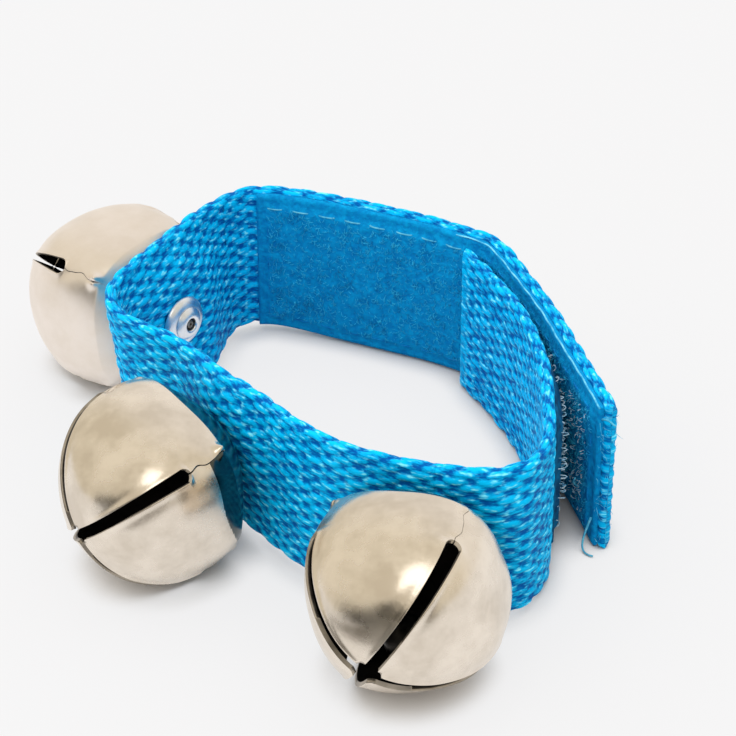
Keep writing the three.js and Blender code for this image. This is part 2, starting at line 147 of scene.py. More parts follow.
def rods(name, paths, radius, sides, facing, material):
    """Thin round rods along many paths at once. Each path point gets a ring: the point plus
    the radius times the cosine and the sine of an angle along two directions square to it."""
    count, steps = paths.shape[:2]
    tangent = unit(np.gradient(paths, axis=1))
    aside = unit(np.cross(tangent, facing))
    above = np.cross(aside, tangent)
    angle = np.arange(sides)[:, None] * 2 * np.pi / sides
    circle = aside[:, :, None] * np.cos(angle) + above[:, :, None] * np.sin(angle)
    points = paths[:, :, None] + np.broadcast_to(radius, (count, steps))[..., None, None] * circle
    offset = np.arange(count)[:, None, None] * steps * sides
    quads = (grid_quads(steps, sides, wrap_columns=True)[None] + offset).reshape(-1, 4)
    ring = np.arange(sides)[None, None]
    first_cap = (ring[..., ::-1] + offset).reshape(-1, sides)
    last_cap = (ring + (steps - 1) * sides + offset).reshape(-1, sides)
    return make_piece(name, points.reshape(-1, 3), [quads, first_cap, last_cap], [material])


def stands_for(obj, slot, *nodes):
    """Hides the CAD nodes that a piece is the fine form of, and prints its faces; the slot is not used."""
    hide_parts(*nodes)
    print(f"{obj.name}: {len(obj.data.polygons)} faces, for {', '.join(nodes)}")


print("helpers ready")

# %% [markdown]
# ## Node helpers and colours
# Colours are written as the 0 to 255 numbers that a paint program shows, and turned into the
# linear light that Blender counts in. A small helper wires shader nodes together by name, so
# that each material below reads as a short list.


# %% Node helpers
def paint(red, green, blue):
    """A screen colour as linear light: below 4 percent a straight line, above it a power of 2.4."""
    share = np.array([red, green, blue]) / 255
    light = np.where(share <= 0.04045, share / 12.92, ((share + 0.055) / 1.055) ** 2.4)
    return (*light.tolist(), 1.0)


def add_node(tree, kind, settings=None, **inputs):
    """A node with its own settings, and its inputs set to values or linked to other sockets."""
    node = tree.nodes.new(kind)
    for key, value in (settings or {}).items():
        setattr(node, key, value)
    for key, value in inputs.items():
        socket = node.inputs[int(key[1:])] if key[1:].isdigit() else node.inputs[key.replace("_", " ")]
        if isinstance(value, bpy.types.NodeSocket):
            tree.links.new(value, socket)
        else:
            socket.default_value = value
    return node


def new_material(name, **constants):
    """A material with a Principled shader whose unvarying sockets are set, and its node tree."""
    material = bpy.data.materials.new(name)
    material.use_nodes = True
    tree = material.node_tree
    shader = tree.nodes["Principled BSDF"]
    for key, value in constants.items():
        shader.inputs[key.replace("_", " ")].default_value = value
    return material, tree, shader


def new_group(name, inputs, outputs):
    """An empty shader node group with named sockets, and the sockets of its two end nodes."""
    group = bpy.data.node_groups.new(name, "ShaderNodeTree")
    for side, sockets in (("INPUT", inputs), ("OUTPUT", outputs)):
        for socket, kind in sockets.items():
            group.interface.new_socket(socket, in_out=side, socket_type="NodeSocket" + kind)
    return group, group.nodes.new("NodeGroupInput").outputs, group.nodes.new("NodeGroupOutput").inputs


def maths(tree, operation, first, second, **settings):
    """Two values added, multiplied or compared."""
    settings["operation"] = operation
    return add_node(tree, "ShaderNodeMath", settings, _0=first, _1=second).outputs[0]


def aimed(tree, vector, way):
    """How far a vector goes in a direction: its dot product with the direction's unit vector."""
    way = tuple(unit(np.array(way, float)))
    dot = add_node(tree, "ShaderNodeVectorMath", {"operation": "DOT_PRODUCT"}, _0=vector, _1=way)
    return dot.outputs["Value"]


def smooth_range(tree, value, low, high, **ends):
    """A value spread between two limits by a smooth step, from 0 to 1 unless other ends are given."""
    return add_node(tree, "ShaderNodeMapRange", {"interpolation_type": "SMOOTHSTEP"}, Value=value,
                    From_Min=low, From_Max=high, **ends).outputs[0]


def mix_colours(tree, share, first, second):
    """One colour that gives way to another as the share goes from 0 to 1."""
    mix = add_node(tree, "ShaderNodeMix", {"data_type": "RGBA"}, Factor=share, _6=first, _7=second)
    return mix.outputs[2]


print("white is", paint(255, 255, 255)[:3])

# %% [markdown]
# ## The studio
# The bells stand on a white table under soft light. The table is one pale sheet. What the
# camera and the metal see of it is lifted towards white, less so close under the object, and
# the shadows stay. The world is a white room, brighter on the left and overhead. What the metal
# sees of it is painted a shade warmer, with three dark patches painted in low down in front on
# the left, and the sheet is painted dark there for the metal too. These painted reflections put
# the brown blotches on the bells. A soft lamp over the camera gives the white spots beside their
# slots.

# %% Table
TABLE_SIZE = 3000
TABLE_GLOW = 0.84
CONTACT = 6
CONTACT_RANGE = (0.3, 0.9)
REFLECTION_DARK_WAYS = (((-0.6, -0.8, 0), 74, 88), ((0.8, -0.6, 0), -54, -34))

floor_material, tree, shader = new_material("table_top", Base_Color=paint(204, 202, 200), Roughness=0.9,
                                            Specular_IOR_Level=0.2)
path = add_node(tree, "ShaderNodeLightPath").outputs
place = add_node(tree, "ShaderNodeTexCoord").outputs["Object"]
# Painted reflection: beyond these lines the metal sees the sheet painted dark, in front on the left.
reflection_dark_share = path["Is Glossy Ray"]
for way, begin, full in REFLECTION_DARK_WAYS:
    beyond = smooth_range(tree, aimed(tree, place, way), begin * MM, full * MM)
    reflection_dark_share = maths(tree, "MULTIPLY", reflection_dark_share, beyond)
sheet = mix_colours(tree, reflection_dark_share, paint(246, 246, 247), paint(70, 64, 50))
glow = add_node(tree, "ShaderNodeEmission", Color=sheet, Strength=1.0)
seen = maths(tree, "MAXIMUM", path["Is Camera Ray"], path["Is Glossy Ray"])
seen = maths(tree, "MAXIMUM", seen, path["Is Transmission Ray"])
near = add_node(tree, "ShaderNodeAmbientOcclusion", Distance=CONTACT * MM)
clear = smooth_range(tree, near.outputs["AO"], *CONTACT_RANGE, To_Max=TABLE_GLOW)
share = maths(tree, "MULTIPLY", seen, clear)
mix = add_node(tree, "ShaderNodeMixShader", _0=share, _1=shader.outputs[0], _2=glow.outputs[0])
tree.links.new(mix.outputs[0], tree.nodes["Material Output"].inputs["Surface"])

step = np.linspace(-TABLE_SIZE, TABLE_SIZE, 5)
flat_x, flat_y = np.meshgrid(step, step)
table_points = np.stack([flat_x, flat_y, np.full_like(flat_x, -0.02)], axis=-1).reshape(-1, 3)
table = make_piece("table", table_points, [grid_quads(5, 5)], [floor_material])
table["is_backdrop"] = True
print("table", TABLE_SIZE * 2, "mm wide")

# %% Room and lamp
ROOM_STRENGTH = 0.9
PAINTED_REFLECTION_PATCHES = (((-0.49, -0.85, 0.20), 0.925, 0.965), ((-0.74, -0.67, 0.08), 0.938, 0.972),
           ((-0.88, -0.46, 0.05), 0.968, 0.990))
BACK_WALL = (0.5, 0.8, 0.3)
LAMP_PLACE, LAMP_SIZE, LAMP_WATTS = (-60, -312, 425), 210, 0.2

world = bpy.data.worlds.new("room")
scene.world = world
world.use_nodes = True
tree = world.node_tree
tree.nodes.clear()
look = add_node(tree, "ShaderNodeTexCoord").outputs["Generated"]
path = add_node(tree, "ShaderNodeLightPath").outputs
parts = add_node(tree, "ShaderNodeSeparateXYZ", Vector=look).outputs
back = smooth_range(tree, aimed(tree, look, BACK_WALL), 0.3, 0.85)
colour = mix_colours(tree, back, paint(237, 229, 211), paint(255, 252, 248))
# Painted reflection: a warmer room and dark patches that only the metal sees.
for direction, edge, core in PAINTED_REFLECTION_PATCHES:
    reflection_patch = smooth_range(tree, aimed(tree, look, direction), edge, core)
    colour = mix_colours(tree, reflection_patch, colour, paint(46, 42, 31))
mirrored = add_node(tree, "ShaderNodeBackground", Color=colour, Strength=ROOM_STRENGTH)
leftness = add_node(tree, "ShaderNodeMapRange", Value=parts["X"], From_Min=-1.0, From_Max=1.0,
                    To_Min=1.35, To_Max=0.65)
upness = add_node(tree, "ShaderNodeMapRange", Value=parts["Z"], To_Min=0.78, To_Max=1.95)
strength = maths(tree, "MULTIPLY", leftness.outputs[0], upness.outputs[0])
lighting = add_node(tree, "ShaderNodeBackground", Color=paint(255, 254, 252), Strength=strength)
backdrop = add_node(tree, "ShaderNodeBackground", Color=paint(247, 247, 248), Strength=1.0)
in_metal = add_node(tree, "ShaderNodeMixShader", _0=path["Is Glossy Ray"],
                    _1=lighting.outputs[0], _2=mirrored.outputs[0])
mix = add_node(tree, "ShaderNodeMixShader", _0=path["Is Camera Ray"],
               _1=in_metal.outputs[0], _2=backdrop.outputs[0])
tree.links.new(mix.outputs[0], tree.nodes.new("ShaderNodeOutputWorld").inputs["Surface"])

lamp = bpy.data.objects.new("key_lamp", bpy.data.lights.new("key_lamp", "AREA"))
lamp.data.size = LAMP_SIZE * MM
lamp.data.energy = LAMP_WATTS
lamp.location = [value * MM for value in LAMP_PLACE]
lamp.rotation_euler = (-lamp.location).to_track_quat("-Z", "Y").to_euler()
scene.collection.objects.link(lamp)
print("room and lamp set")

# %% [markdown]
# ## The strap's route
# The strap is bent cloth, and everything sewn or riveted to it follows its bend. So the shape
# is kept in one map: a station along the strap, a depth out of its middle layer and a place
# across its width give a point in space. The route is the same curve through the same points
# as in the CAD source, so that what is built on it lies exactly on the CAD solids.

# %% Route through its points
WEBBING_WIDTH = 25
WEBBING_THICKNESS = 2.2
TONGUE_ROUTE = np.array([[15.7, 13.1], [20.6, 3.2], [23.6, -4.7], [25.4, -13.3], [26.3, -21.6],
                         [26.2, -30.5], [25.9, -37]])
FRONT_ROUTE = np.array([[24.4, -43], [22, -47], [17.5, -48.6], [10.4, -47.2], [4.9, -46], [-2.4, -43.2],
                        [-9.4, -37.6], [-16, -29.6], [-22.4, -21.9], [-28.6, -15], [-33.2, -11.3],
                        [-37.3, -7.7]])
SIDE_ROUTE = np.array([[-39.4, -3], [-39, 1.8], [-36.6, 6.4], [-30.8, 16.2], [-26.8, 23], [-23, 28.3]])
TAIL_ROUTE = np.array([[-20.2, 30.6], [-16, 31.1], [-5.3, 28], [3.7, 24.2], [11, 20.8], [16.7, 17.3]])
CLOSURE_STACK = 4.65
PEEL_GAP = 4.5
PEEL_START = 2
ROUTE_SAMPLES = 40


def spline(points, samples):
    """Smooth curve through points, span by span a cubic. Its slope at a point weighs the
    differences to both neighbours by the square roots of their distances."""
    ends = [2 * points[:1] - points[1:2], points, 2 * points[-1:] - points[-2:-1]]
    p = np.vstack(ends)
    gap = np.sqrt(np.linalg.norm(np.diff(p, axis=0), axis=1))[:, None]
    d0, d1, d2 = gap[:-2], gap[1:-1], gap[2:]
    p0, p1, p2, p3 = p[:-3], p[1:-2], p[2:-1], p[3:]
    leave = d1 * ((p1 - p0) / d0 - (p2 - p0) / (d0 + d1) + (p2 - p1) / d1)
    reach = d1 * ((p2 - p1) / d1 - (p3 - p1) / (d1 + d2) + (p3 - p2) / d2)
    square = 3 * (p2 - p1) - 2 * leave - reach
    cube = 2 * (p1 - p2) + leave + reach
    t = np.linspace(0, 1, samples, endpoint=False)[None, :, None]
    place = p1[:, None] + t * (leave[:, None] + t * (square[:, None] + t * cube[:, None]))
    slope = leave[:, None] + t * (2 * square[:, None] + 3 * t * cube[:, None])
    return (np.vstack([place.reshape(-1, 2), points[-1:]]),
            unit(np.vstack([slope.reshape(-1, 2), reach[-1:]])))


def turned_left(directions):
    """Plan directions turned a quarter turn, which on this route points out of the loop."""
    return np.stack([-directions[..., 1], directions[..., 0]], axis=-1)


tongue_slope = spline(TONGUE_ROUTE, ROUTE_SAMPLES)[1][::ROUTE_SAMPLES]
last_closed = len(TONGUE_ROUTE) - 2
peel = np.clip(np.arange(last_closed + 1) - PEEL_START, 0, None) / (last_closed - PEEL_START)
tail_offset = (CLOSURE_STACK + PEEL_GAP * peel**2)[:, None]
closed_tail = TONGUE_ROUTE[:-1] + turned_left(tongue_slope[:-1]) * tail_offset
route_points = np.vstack([TONGUE_ROUTE, FRONT_ROUTE, SIDE_ROUTE, TAIL_ROUTE, closed_tail])
route, route_slope = spline(route_points, ROUTE_SAMPLES)
route_length = np.concatenate([[0], np.cumsum(np.linalg.norm(np.diff(route, axis=0), axis=1))])
knots = route_length[::ROUTE_SAMPLES]
front_start, side_start, tail_start, back_end, peel_start = knots[
    np.cumsum([len(TONGUE_ROUTE), len(FRONT_ROUTE), len(SIDE_ROUTE), len(TAIL_ROUTE) - 1, 1 + PEEL_START])]
strap_length = knots[-1]
print(f"strap {strap_length:.1f} mm long; bends at {front_start:.1f}, {side_start:.1f}, {tail_start:.1f}")

# %% [markdown]
# ## Lean, lift and the flats under the bells
# The strap stands on its long edges, a little raised and leaning out where a bell holds it.
# Lean and lift ease from one station to the next. Each bell presses the cloth flat: near the
# rivet the cloth moves until its outer face lies in the plane of the bell's base, and the
# press fades with the fourth power of the distance. The bells' axes come from the CAD joints.

# %% Strap map
BAND_LIFT, SIDE_LIFT, BACK_LIFT = 1.6, 2.6, 1.3
FRONT_LEAN, LEFT_BEND_LEAN, SIDE_LEAN = 1, 7, 14
BEND_REACH = 6
PUCKER_RADIUS = 10
BASE_DEPTH = 11.9
FIT_GAP = 0.3
BELL_PLACES = {"bell_1": (side_start + 17.8, -1), "bell_2": (front_start + 56.9, -8),
               "bell_3": (front_start + 17.6, 13.5)}
LEAN_STOPS = [(front_start - BEND_REACH, 0), (front_start + BEND_REACH, FRONT_LEAN),
              (BELL_PLACES["bell_2"][0] + BEND_REACH, FRONT_LEAN), (side_start, LEFT_BEND_LEAN),
              (BELL_PLACES["bell_1"][0], SIDE_LEAN), (tail_start, 0)]
LIFT_STOPS = [(front_start - BEND_REACH, 0), (front_start + BEND_REACH, BAND_LIFT), (side_start, BAND_LIFT),
              (BELL_PLACES["bell_1"][0], SIDE_LIFT), (tail_start, BACK_LIFT), (back_end, BACK_LIFT),
              (peel_start, 0)]
plan_shift = np.zeros(2)


def step_up(value, start, end):
    """The smooth step 3t squared minus 2t cubed between two values."""
    t = np.clip((value - start) / (end - start), 0, 1)
    return t * t * (3 - 2 * t)


def eased(stops, station):
    """A value that goes from stop to stop, each time on a smooth step."""
    value = np.full(np.shape(station), float(stops[0][1]))
    for (start, before), (end, after) in zip(stops, stops[1:]):
        value += (after - before) * step_up(station, start, end)
    return value


def strap_frame(station):
    """Directions along, out of the loop and across the webbing, and its mid-width point."""
    inside = np.clip(station, 0, strap_length)
    plan = np.stack([np.interp(inside, route_length, route[:, i]) for i in (0, 1)], axis=-1)
    slope = unit(np.stack([np.interp(inside, route_length, route_slope[:, i]) for i in (0, 1)], axis=-1))
    plan = plan + slope * (station - inside)[..., None] + plan_shift
    level = turned_left(slope)
    lean = np.radians(eased(LEAN_STOPS, station))[..., None]
    height = eased(LIFT_STOPS, station)[..., None]
    height = height + WEBBING_WIDTH * np.cos(lean) + WEBBING_THICKNESS / 2 * np.sin(lean)
    along = np.concatenate([slope, np.zeros_like(lean)], axis=-1)
    out = np.concatenate([level * np.cos(lean), -np.sin(lean)], axis=-1)
    across = np.concatenate([level * np.sin(lean), np.cos(lean)], axis=-1)
    middle = np.concatenate([plan, height], axis=-1) - across * WEBBING_WIDTH / 2
    return along, out, across, middle


presses = []


def strap_point(station, depth, width):
    """Middle line plus width across plus depth out, and under a bell the push to its base plane."""
    station, depth, width = np.broadcast_arrays(*(np.asarray(v, float) for v in (station, depth, width)))
    _, out, across, middle = strap_frame(station)
    point = middle + across * width[..., None]
    face = point + out * WEBBING_THICKNESS / 2
    shift = np.zeros(station.shape)
    for press in presses:
        reach = np.hypot(station - press["station"], width - press["width"]) / PUCKER_RADIUS
        to_base = (press["seat"] - face) @ press["axis"] / (out @ press["axis"])
        shift += to_base * np.exp(-(reach**4))
    return point + out * (depth + shift)[..., None]


tail_hinge = np.array(joints["tail_opening"]["pos_m"]) / MM
plan_shift = (tail_hinge - strap_point(tail_start, WEBBING_THICKNESS / 2, 0))[:2]
print("route shifted into the frame by", plan_shift.round(3), "mm")


# %% Bells' own directions
def bell_frame(name):
    """The bell's middle, and its upright, sideways and tip directions, from its CAD joint."""
    station, roll = BELL_PLACES[name]
    joint = joints[name + "_turn"]
    centre = np.array(joint["pos_m"]) / MM
    axis = unit(np.array(joint["axis"]))
    _, _, across, middle = strap_frame(np.float64(station))
    upright = unit(across - axis * (across @ axis))
    seat = centre - axis * (FIT_GAP + BASE_DEPTH)
    width = (seat - middle) @ across
    return {"station": station, "roll": np.radians(roll), "centre": centre, "axis": axis, "seat": seat,
            "width": width, "turn": np.stack([upright, np.cross(axis, upright), axis])}


bells = {name: bell_frame(name) for name in BELL_PLACES}
presses.extend(bells.values())
for name, bell in bells.items():
    print(f"{name} sits at station {bell['station']:.1f} and {bell['width']:.2f} mm up")

# %% [markdown]
# ## The camera
# The photograph looks down on the bells from about 33 degrees, from less than half a metre away,
# with a long lens. A camera is set by its place, the direction it looks in and its focal length.
# The three were found from the size and place of the bells in the picture, in the same plan
# as the strap's route, so the camera moves into the frame with it.

# %% Camera
CAMERA_PLACE = np.array([0, -354.07, 244.62])
CAMERA_TILT = 33.30
FOCAL_PIXELS = 2700
FRAME_PIXELS = 736
SENSOR = 36

camera = bpy.data.objects.new("camera", bpy.data.cameras.new("camera"))
camera.location = (CAMERA_PLACE + [*plan_shift, 0]) * MM
camera.rotation_euler = (np.radians(90 - CAMERA_TILT), 0, 0)
camera.data.sensor_width = SENSOR
camera.data.lens = SENSOR * FOCAL_PIXELS / FRAME_PIXELS
camera.data.clip_start = 0.01
scene.collection.objects.link(camera)
scene.camera = camera
print(f"lens {camera.data.lens:.1f} mm")

# %% [markdown]
# ## Shared finishes
# One effect comes back on nearly every material, so it is a node group: it breaks a colour into
# soft light and dark patches, as on old plating and napped cloth. A second group colours yarn,
# and keeps the webbing's own material short: dark in the gaps as painted shade, light on the
# crests, with fine streaks along the filaments and a few painted glints. The groups put out
# colours and values only, and each material keeps its own shader.

# %% Mottle group
mottle_group, entry, leave = new_group(
    "mottle", {"Vector": "Vector", "Scale": "Float", "Light": "Color", "Dark": "Color"},
    {"Color": "Color", "Value": "Float"})
noise = add_node(mottle_group, "ShaderNodeTexNoise", Vector=entry["Vector"], Scale=entry["Scale"],
                 Detail=4.0, Roughness=0.6)
spread = add_node(mottle_group, "ShaderNodeMapRange", Value=noise.outputs["Fac"], From_Min=0.35,
                  From_Max=0.65).outputs[0]
mottle_group.links.new(mix_colours(mottle_group, spread, entry["Dark"], entry["Light"]), leave["Color"])
mottle_group.links.new(spread, leave["Value"])
print("mottle group:", len(mottle_group.nodes), "nodes")

# %% Yarn group
yarn_group, entry, leave = new_group(
    "yarn", {"Crest": "Float", "Filament": "Vector", "Light": "Color", "Dark": "Color", "Glint": "Color"},
    {"Color": "Color", "Height": "Float"})
streak = add_node(yarn_group, "ShaderNodeTexNoise", Vector=entry["Filament"], Scale=1.0, Detail=3.0)
sway = add_node(yarn_group, "ShaderNodeMapRange", Value=streak.outputs["Fac"], From_Min=0.3, From_Max=0.7,
                To_Min=-0.25, To_Max=0.25)
level = maths(yarn_group, "ADD", entry["Crest"], sway.outputs[0], use_clamp=True)
# Painted shade: the crest height turns the Dark colour into the gaps between yarns and the Light colour
# onto the crests.
shade = smooth_range(yarn_group, level, 0.05, 0.9)
blend = mix_colours(yarn_group, shade, entry["Dark"], entry["Light"])
# Painted highlight: glints spread over the crests.
glint_noise = add_node(yarn_group, "ShaderNodeTexNoise", Vector=entry["Filament"], Scale=0.55, Detail=1.0)
glint_share = maths(yarn_group, "MULTIPLY", smooth_range(yarn_group, glint_noise.outputs["Fac"], 0.54, 0.74), shade)
yarn_group.links.new(mix_colours(yarn_group, glint_share, blend, entry["Glint"]), leave["Color"])
yarn_group.links.new(streak.outputs["Fac"], leave["Height"])
print("yarn group:", len(yarn_group.nodes), "nodes")

# %% Ways to place a group in a material
def group_node(tree, group, **inputs):
    """One use of a node group in a material, with this material's own values."""
    return add_node(tree, "ShaderNodeGroup", {"node_tree": group}, **inputs)


def bumped(tree, shader, height, strength, distance):
    """A bump of so many millimetres, driven by a height that varies over the surface."""
    bump = add_node(tree, "ShaderNodeBump", Strength=strength, Distance=distance * MM, Height=height)
    tree.links.new(bump.outputs["Normal"], shader.inputs["Normal"])


def mottled(name, light, dark, scale, rough, bump, **constants):
    """A material whose colour and roughness follow the mottle group on Object coordinates."""
    material, tree, shader = new_material(name, **constants)
    place = add_node(tree, "ShaderNodeTexCoord").outputs["Object"]
    spots = group_node(tree, mottle_group, Vector=place, Scale=scale,
                       Light=paint(*light), Dark=paint(*dark))
    tree.links.new(spots.outputs["Color"], shader.inputs["Base Color"])
    finish = add_node(tree, "ShaderNodeMapRange", Value=spots.outputs["Value"], To_Min=rough[0],
                      To_Max=rough[1])
    tree.links.new(finish.outputs[0], shader.inputs["Roughness"])
    bumped(tree, shader, spots.outputs["Value"], *bump)
    return material


print("material helpers ready")

# %% [markdown]
# ## Webbing
# The strap is plain-woven nylon: stout yarns run its whole length, side by side, and dive
# under every other cross yarn. So each yarn shows as a row of long bumps, and the rows are
# staggered like bricks. At the long edges the yarns wrap round and make a twisted border. A
# flat strip with a bump texture would look printed, so the yarns are real relief: walking
# round the section, the height is the highest of the three nearest yarns, each a rounded bump
# across its width and along its length. The strip is made in three meshes, each kept under the
# name of one hinge of the CAD model, and their ends meet in the middle of a stretch.

# %% Webbing finish
webbing_blue, tree, shader = new_material("webbing_blue", Roughness=0.5, Specular_IOR_Level=0.03)
weave = add_node(tree, "ShaderNodeAttribute", {"attribute_name": "weave"})
weave_parts = add_node(tree, "ShaderNodeSeparateXYZ", Vector=weave.outputs["Vector"])
filament = add_node(tree, "ShaderNodeMapping", Vector=weave.outputs["Vector"], Scale=(1.3, 3.6, 0))
# Dark is painted shade in the gaps between yarns, and Glint is a painted highlight on the crests.
yarn = group_node(tree, yarn_group, Crest=weave_parts.outputs["Z"], Filament=filament.outputs[0],
                  Light=paint(4, 186, 242), Dark=paint(0, 84, 160), Glint=paint(128, 236, 255))
tree.links.new(yarn.outputs["Color"], shader.inputs["Base Color"])
bumped(tree, shader, yarn.outputs["Height"], 0.5, 0.12)
print("webbing finish:", len(tree.nodes), "nodes")

# %% Weave relief
FACE_ROWS = 23
EDGE_ROWS = 3
ROW_SAMPLES = 6
WEAVE_PERIOD = 4.7
WEAVE_DEPTH = 0.42
BUMP_HALF = 1.95
BUMP_DIP = 0.8
YARN_HALF = 0.66
YARN_ARC = 0.38
EDGE_SWELL = 0.1
FACE_STAGGER, EDGE_STAGGER = 0.5, 0.28
ALL_ROWS = 2 * (FACE_ROWS + EDGE_ROWS)
BUMP_KINDS = (ALL_ROWS, 64)
random = np.random.default_rng(7)
row_steps = np.tile(np.repeat([FACE_STAGGER, EDGE_STAGGER], [FACE_ROWS, EDGE_ROWS]), 2)
row_phase = np.cumsum(row_steps) + random.normal(0, 0.02, ALL_ROWS)
bump_size = random.uniform(0.6, 1.0, BUMP_KINDS)
bump_shift = random.normal(0, 0.04, BUMP_KINDS)


def yarn_height(station, row):
    """Highest of the three nearest yarns, each rounded across, falling along to a dip by a cube, with
    its ends bent up or down in turn, so that neighbours join in wavy lines."""
    best = np.zeros(np.broadcast_shapes(np.shape(station), np.shape(row)))
    for step in (-1, 0, 1):
        number = np.floor(row).astype(int) + step
        yarn = number % ALL_ROWS
        turn = station / WEAVE_PERIOD + row_phase[yarn]
        bump = np.round(turn).astype(int)
        which = bump % BUMP_KINDS[1]
        ahead = (turn - bump + bump_shift[yarn, which]) * WEAVE_PERIOD / BUMP_HALF
        bent = YARN_ARC * (np.clip(ahead**2, 0, 1) - 0.3) * (1 - 2 * (number % 2))
        aside = (row - number - 0.5 - bent) / YARN_HALF
        along = 1 - BUMP_DIP * np.clip(np.abs(ahead) ** 3, 0, 1)
        lobe = np.clip(1 - aside**2, 0, 1) ** 0.6 * along
        best = np.maximum(best, lobe * bump_size[yarn, which])
    return best


def middles(rows):
    """The middles of so many rows' samples, as shares of the way from 0 to 1."""
    return (np.arange(rows * ROW_SAMPLES) + 0.5) / (rows * ROW_SAMPLES)


def webbing_section():
    """The section walked round once: base depth and width, the outward direction, and the row."""
    radius = WEBBING_THICKNESS / 2 - WEAVE_DEPTH
    flat = WEBBING_WIDTH / 2 - WEAVE_DEPTH - radius
    face = middles(FACE_ROWS) * 2 - 1
    angle = middles(EDGE_ROWS) * np.pi
    still = np.zeros_like(face)
    depth_way = np.concatenate([still + 1, np.cos(angle), still - 1, -np.cos(angle)])
    width_way = np.concatenate([still, np.sin(angle), still, -np.sin(angle)])
    edge = np.full_like(angle, flat)
    width = np.concatenate([flat * face, edge, -flat * face, -edge])
    row = (np.arange(ALL_ROWS * ROW_SAMPLES) + 0.5) / ROW_SAMPLES
    return depth_way * radius, width + width_way * radius, depth_way, width_way, row


print("webbing section:", len(webbing_section()[0]), "points round")

# %% Three webbing meshes
STATION_STEP = 0.45
END_ROUND = 0.7
END_RINGS = 5
END_CLOSING = 0.96
SEALED_HEIGHT = 0.7
SEALED_REACH = 1.3
WANDER, WANDER_ALONG, WANDER_ACROSS = 0.12, 7.3, 5.1
TOP_SWELL = 1.05
LOW_SWELL_STOPS = [(tail_start + 3, 0), (tail_start + 20, 0.9)]


def swollen(station, width):
    """Cloth is a little wider than its nominal width: at the top edge, and below where it is off
    the table, by a share of its lift."""
    lift = eased(LIFT_STOPS, station)
    low_swell = np.minimum(lift * 0.2 + eased(LOW_SWELL_STOPS, station), lift * 0.9)
    return width * (1 + np.where(width > 0, TOP_SWELL, low_swell) / (WEBBING_WIDTH / 2))


def webbing_mesh(name, start, end, cut=None, sealing=0.0):
    """The section carried along the strap. At a cut start or end the weave is sealed smoother, and
    the last rings draw in on a quarter circle."""
    station = np.linspace(start, end, int(round((end - start) / STATION_STEP)) + 1)
    swell = np.ones_like(station)
    quarter = np.linspace(0, np.pi / 2, END_RINGS + 1)[1:] * END_CLOSING
    if cut == "start":
        station = np.concatenate([start - END_ROUND * np.sin(quarter[::-1]), station])
        swell = np.concatenate([np.cos(quarter[::-1]), swell])
    if cut == "end":
        station = np.concatenate([station, end + END_ROUND * np.sin(quarter)])
        swell = np.concatenate([swell, np.cos(quarter)])
    depth, width, depth_way, width_way, row = webbing_section()
    station, swell = station[:, None], swell[:, None]
    crest = yarn_height(station, row + WANDER * np.sin(station / WANDER_ALONG + row / WANDER_ACROSS))
    to_cut = station - start if cut == "start" else end - station
    sealed = np.exp(-((np.clip(to_cut, 0, None) / SEALED_REACH) ** 2)) * sealing
    crest = crest + (SEALED_HEIGHT - crest) * sealed
    lift = crest * WEAVE_DEPTH
    edge_lift = lift + (crest - 1) * EDGE_SWELL
    width = swollen(station, width + width_way * edge_lift)
    rings = strap_point(station, (depth + depth_way * lift) * swell, width)
    obj = make_piece(name, *capped_sweep(rings), [webbing_blue])
    data = np.stack(np.broadcast_arrays(station, row, crest), axis=-1).reshape(-1, 3)
    data = np.vstack([data, data[[0, -1]]])
    attribute = obj.data.attributes.new("weave", "FLOAT_VECTOR", "POINT")
    attribute.data.foreach_set("vector", data.astype(np.float32).ravel())
    return obj


front_split = BELL_PLACES["bell_3"][0]
side_split = side_start + 34
strips = {
    "tongue_bend": webbing_mesh("webbing_tongue", END_ROUND / 2, front_split, "start", 0.7),
    "side_opening": webbing_mesh("webbing_band", front_split, side_split),
    "tail_opening": webbing_mesh("webbing_tail", side_split, strap_length - END_ROUND / 2, "end", 0.25)}
stands_for(strips["tongue_bend"], "webbing", "strap_tongue", "strap_band_front")
stands_for(strips["side_opening"], "webbing", "strap_band_front", "strap_band_side")
stands_for(strips["tail_opening"], "webbing", "strap_band_side", "strap_tail")

# %% [markdown]
# ## Cloth that bends at the hinges
# A rigid piece rides on one body. Cloth that crosses a hinge only has its placing baked into
# its points here: it follows no body and does not bend.


def bend_with(obj):
    """Bakes the piece's placing into its points; it is not blended between bodies."""
    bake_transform(obj)


def on_tail(obj, slot, node):
    """A soft piece sewn to the tail, the fine form of a CAD node, with its placing baked in."""
    stands_for(obj, slot, node)
    bend_with(obj)


def on_tongue(obj, slot, node):
    """A piece sewn to the tongue, the fine form of a CAD node, which rides on it."""
    stands_for(obj, slot, node)
    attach(obj, "tongue")


for joint_name, strip in strips.items():
    bend_with(strip)

# %% [markdown]
# ## Loop tape
# Soft loop tape lines the inside of the tail: a woven ground with a smooth border, and a nap
# of fine brushed loops. Its body is one surface with a raised, uneven nap, and some thousands
# of little arched fibres stand on it, so that its outline and its shadows are soft as well.

# %% Tape finishes
loop_ground = mottled("loop_nap", (6, 150, 206), (0, 122, 184), 900, (0.85, 1.0), (0.6, 0.3),
                      Specular_IOR_Level=0.08)
loop_fibre = mottled("loop_fibre", (56, 190, 228), (0, 124, 184), 700, (0.7, 0.9), (0.1, 0.05),
                     Specular_IOR_Level=0.12)
# Painted shade: the hook tape's ground is darkened for the shade in the gap under the tail.
hook_ground_painted_shade = mottled("hook_ground_painted_shade", (6, 96, 138), (0, 56, 92), 500, (0.7, 0.9), (0.4, 0.15),
                      Specular_IOR_Level=0.15)
hook_nylon = mottled("hook_nylon", (214, 236, 244), (40, 140, 180), 900, (0.25, 0.4), (0.1, 0.05),
                     Specular_IOR_Level=0.6)
print("tape finishes ready")

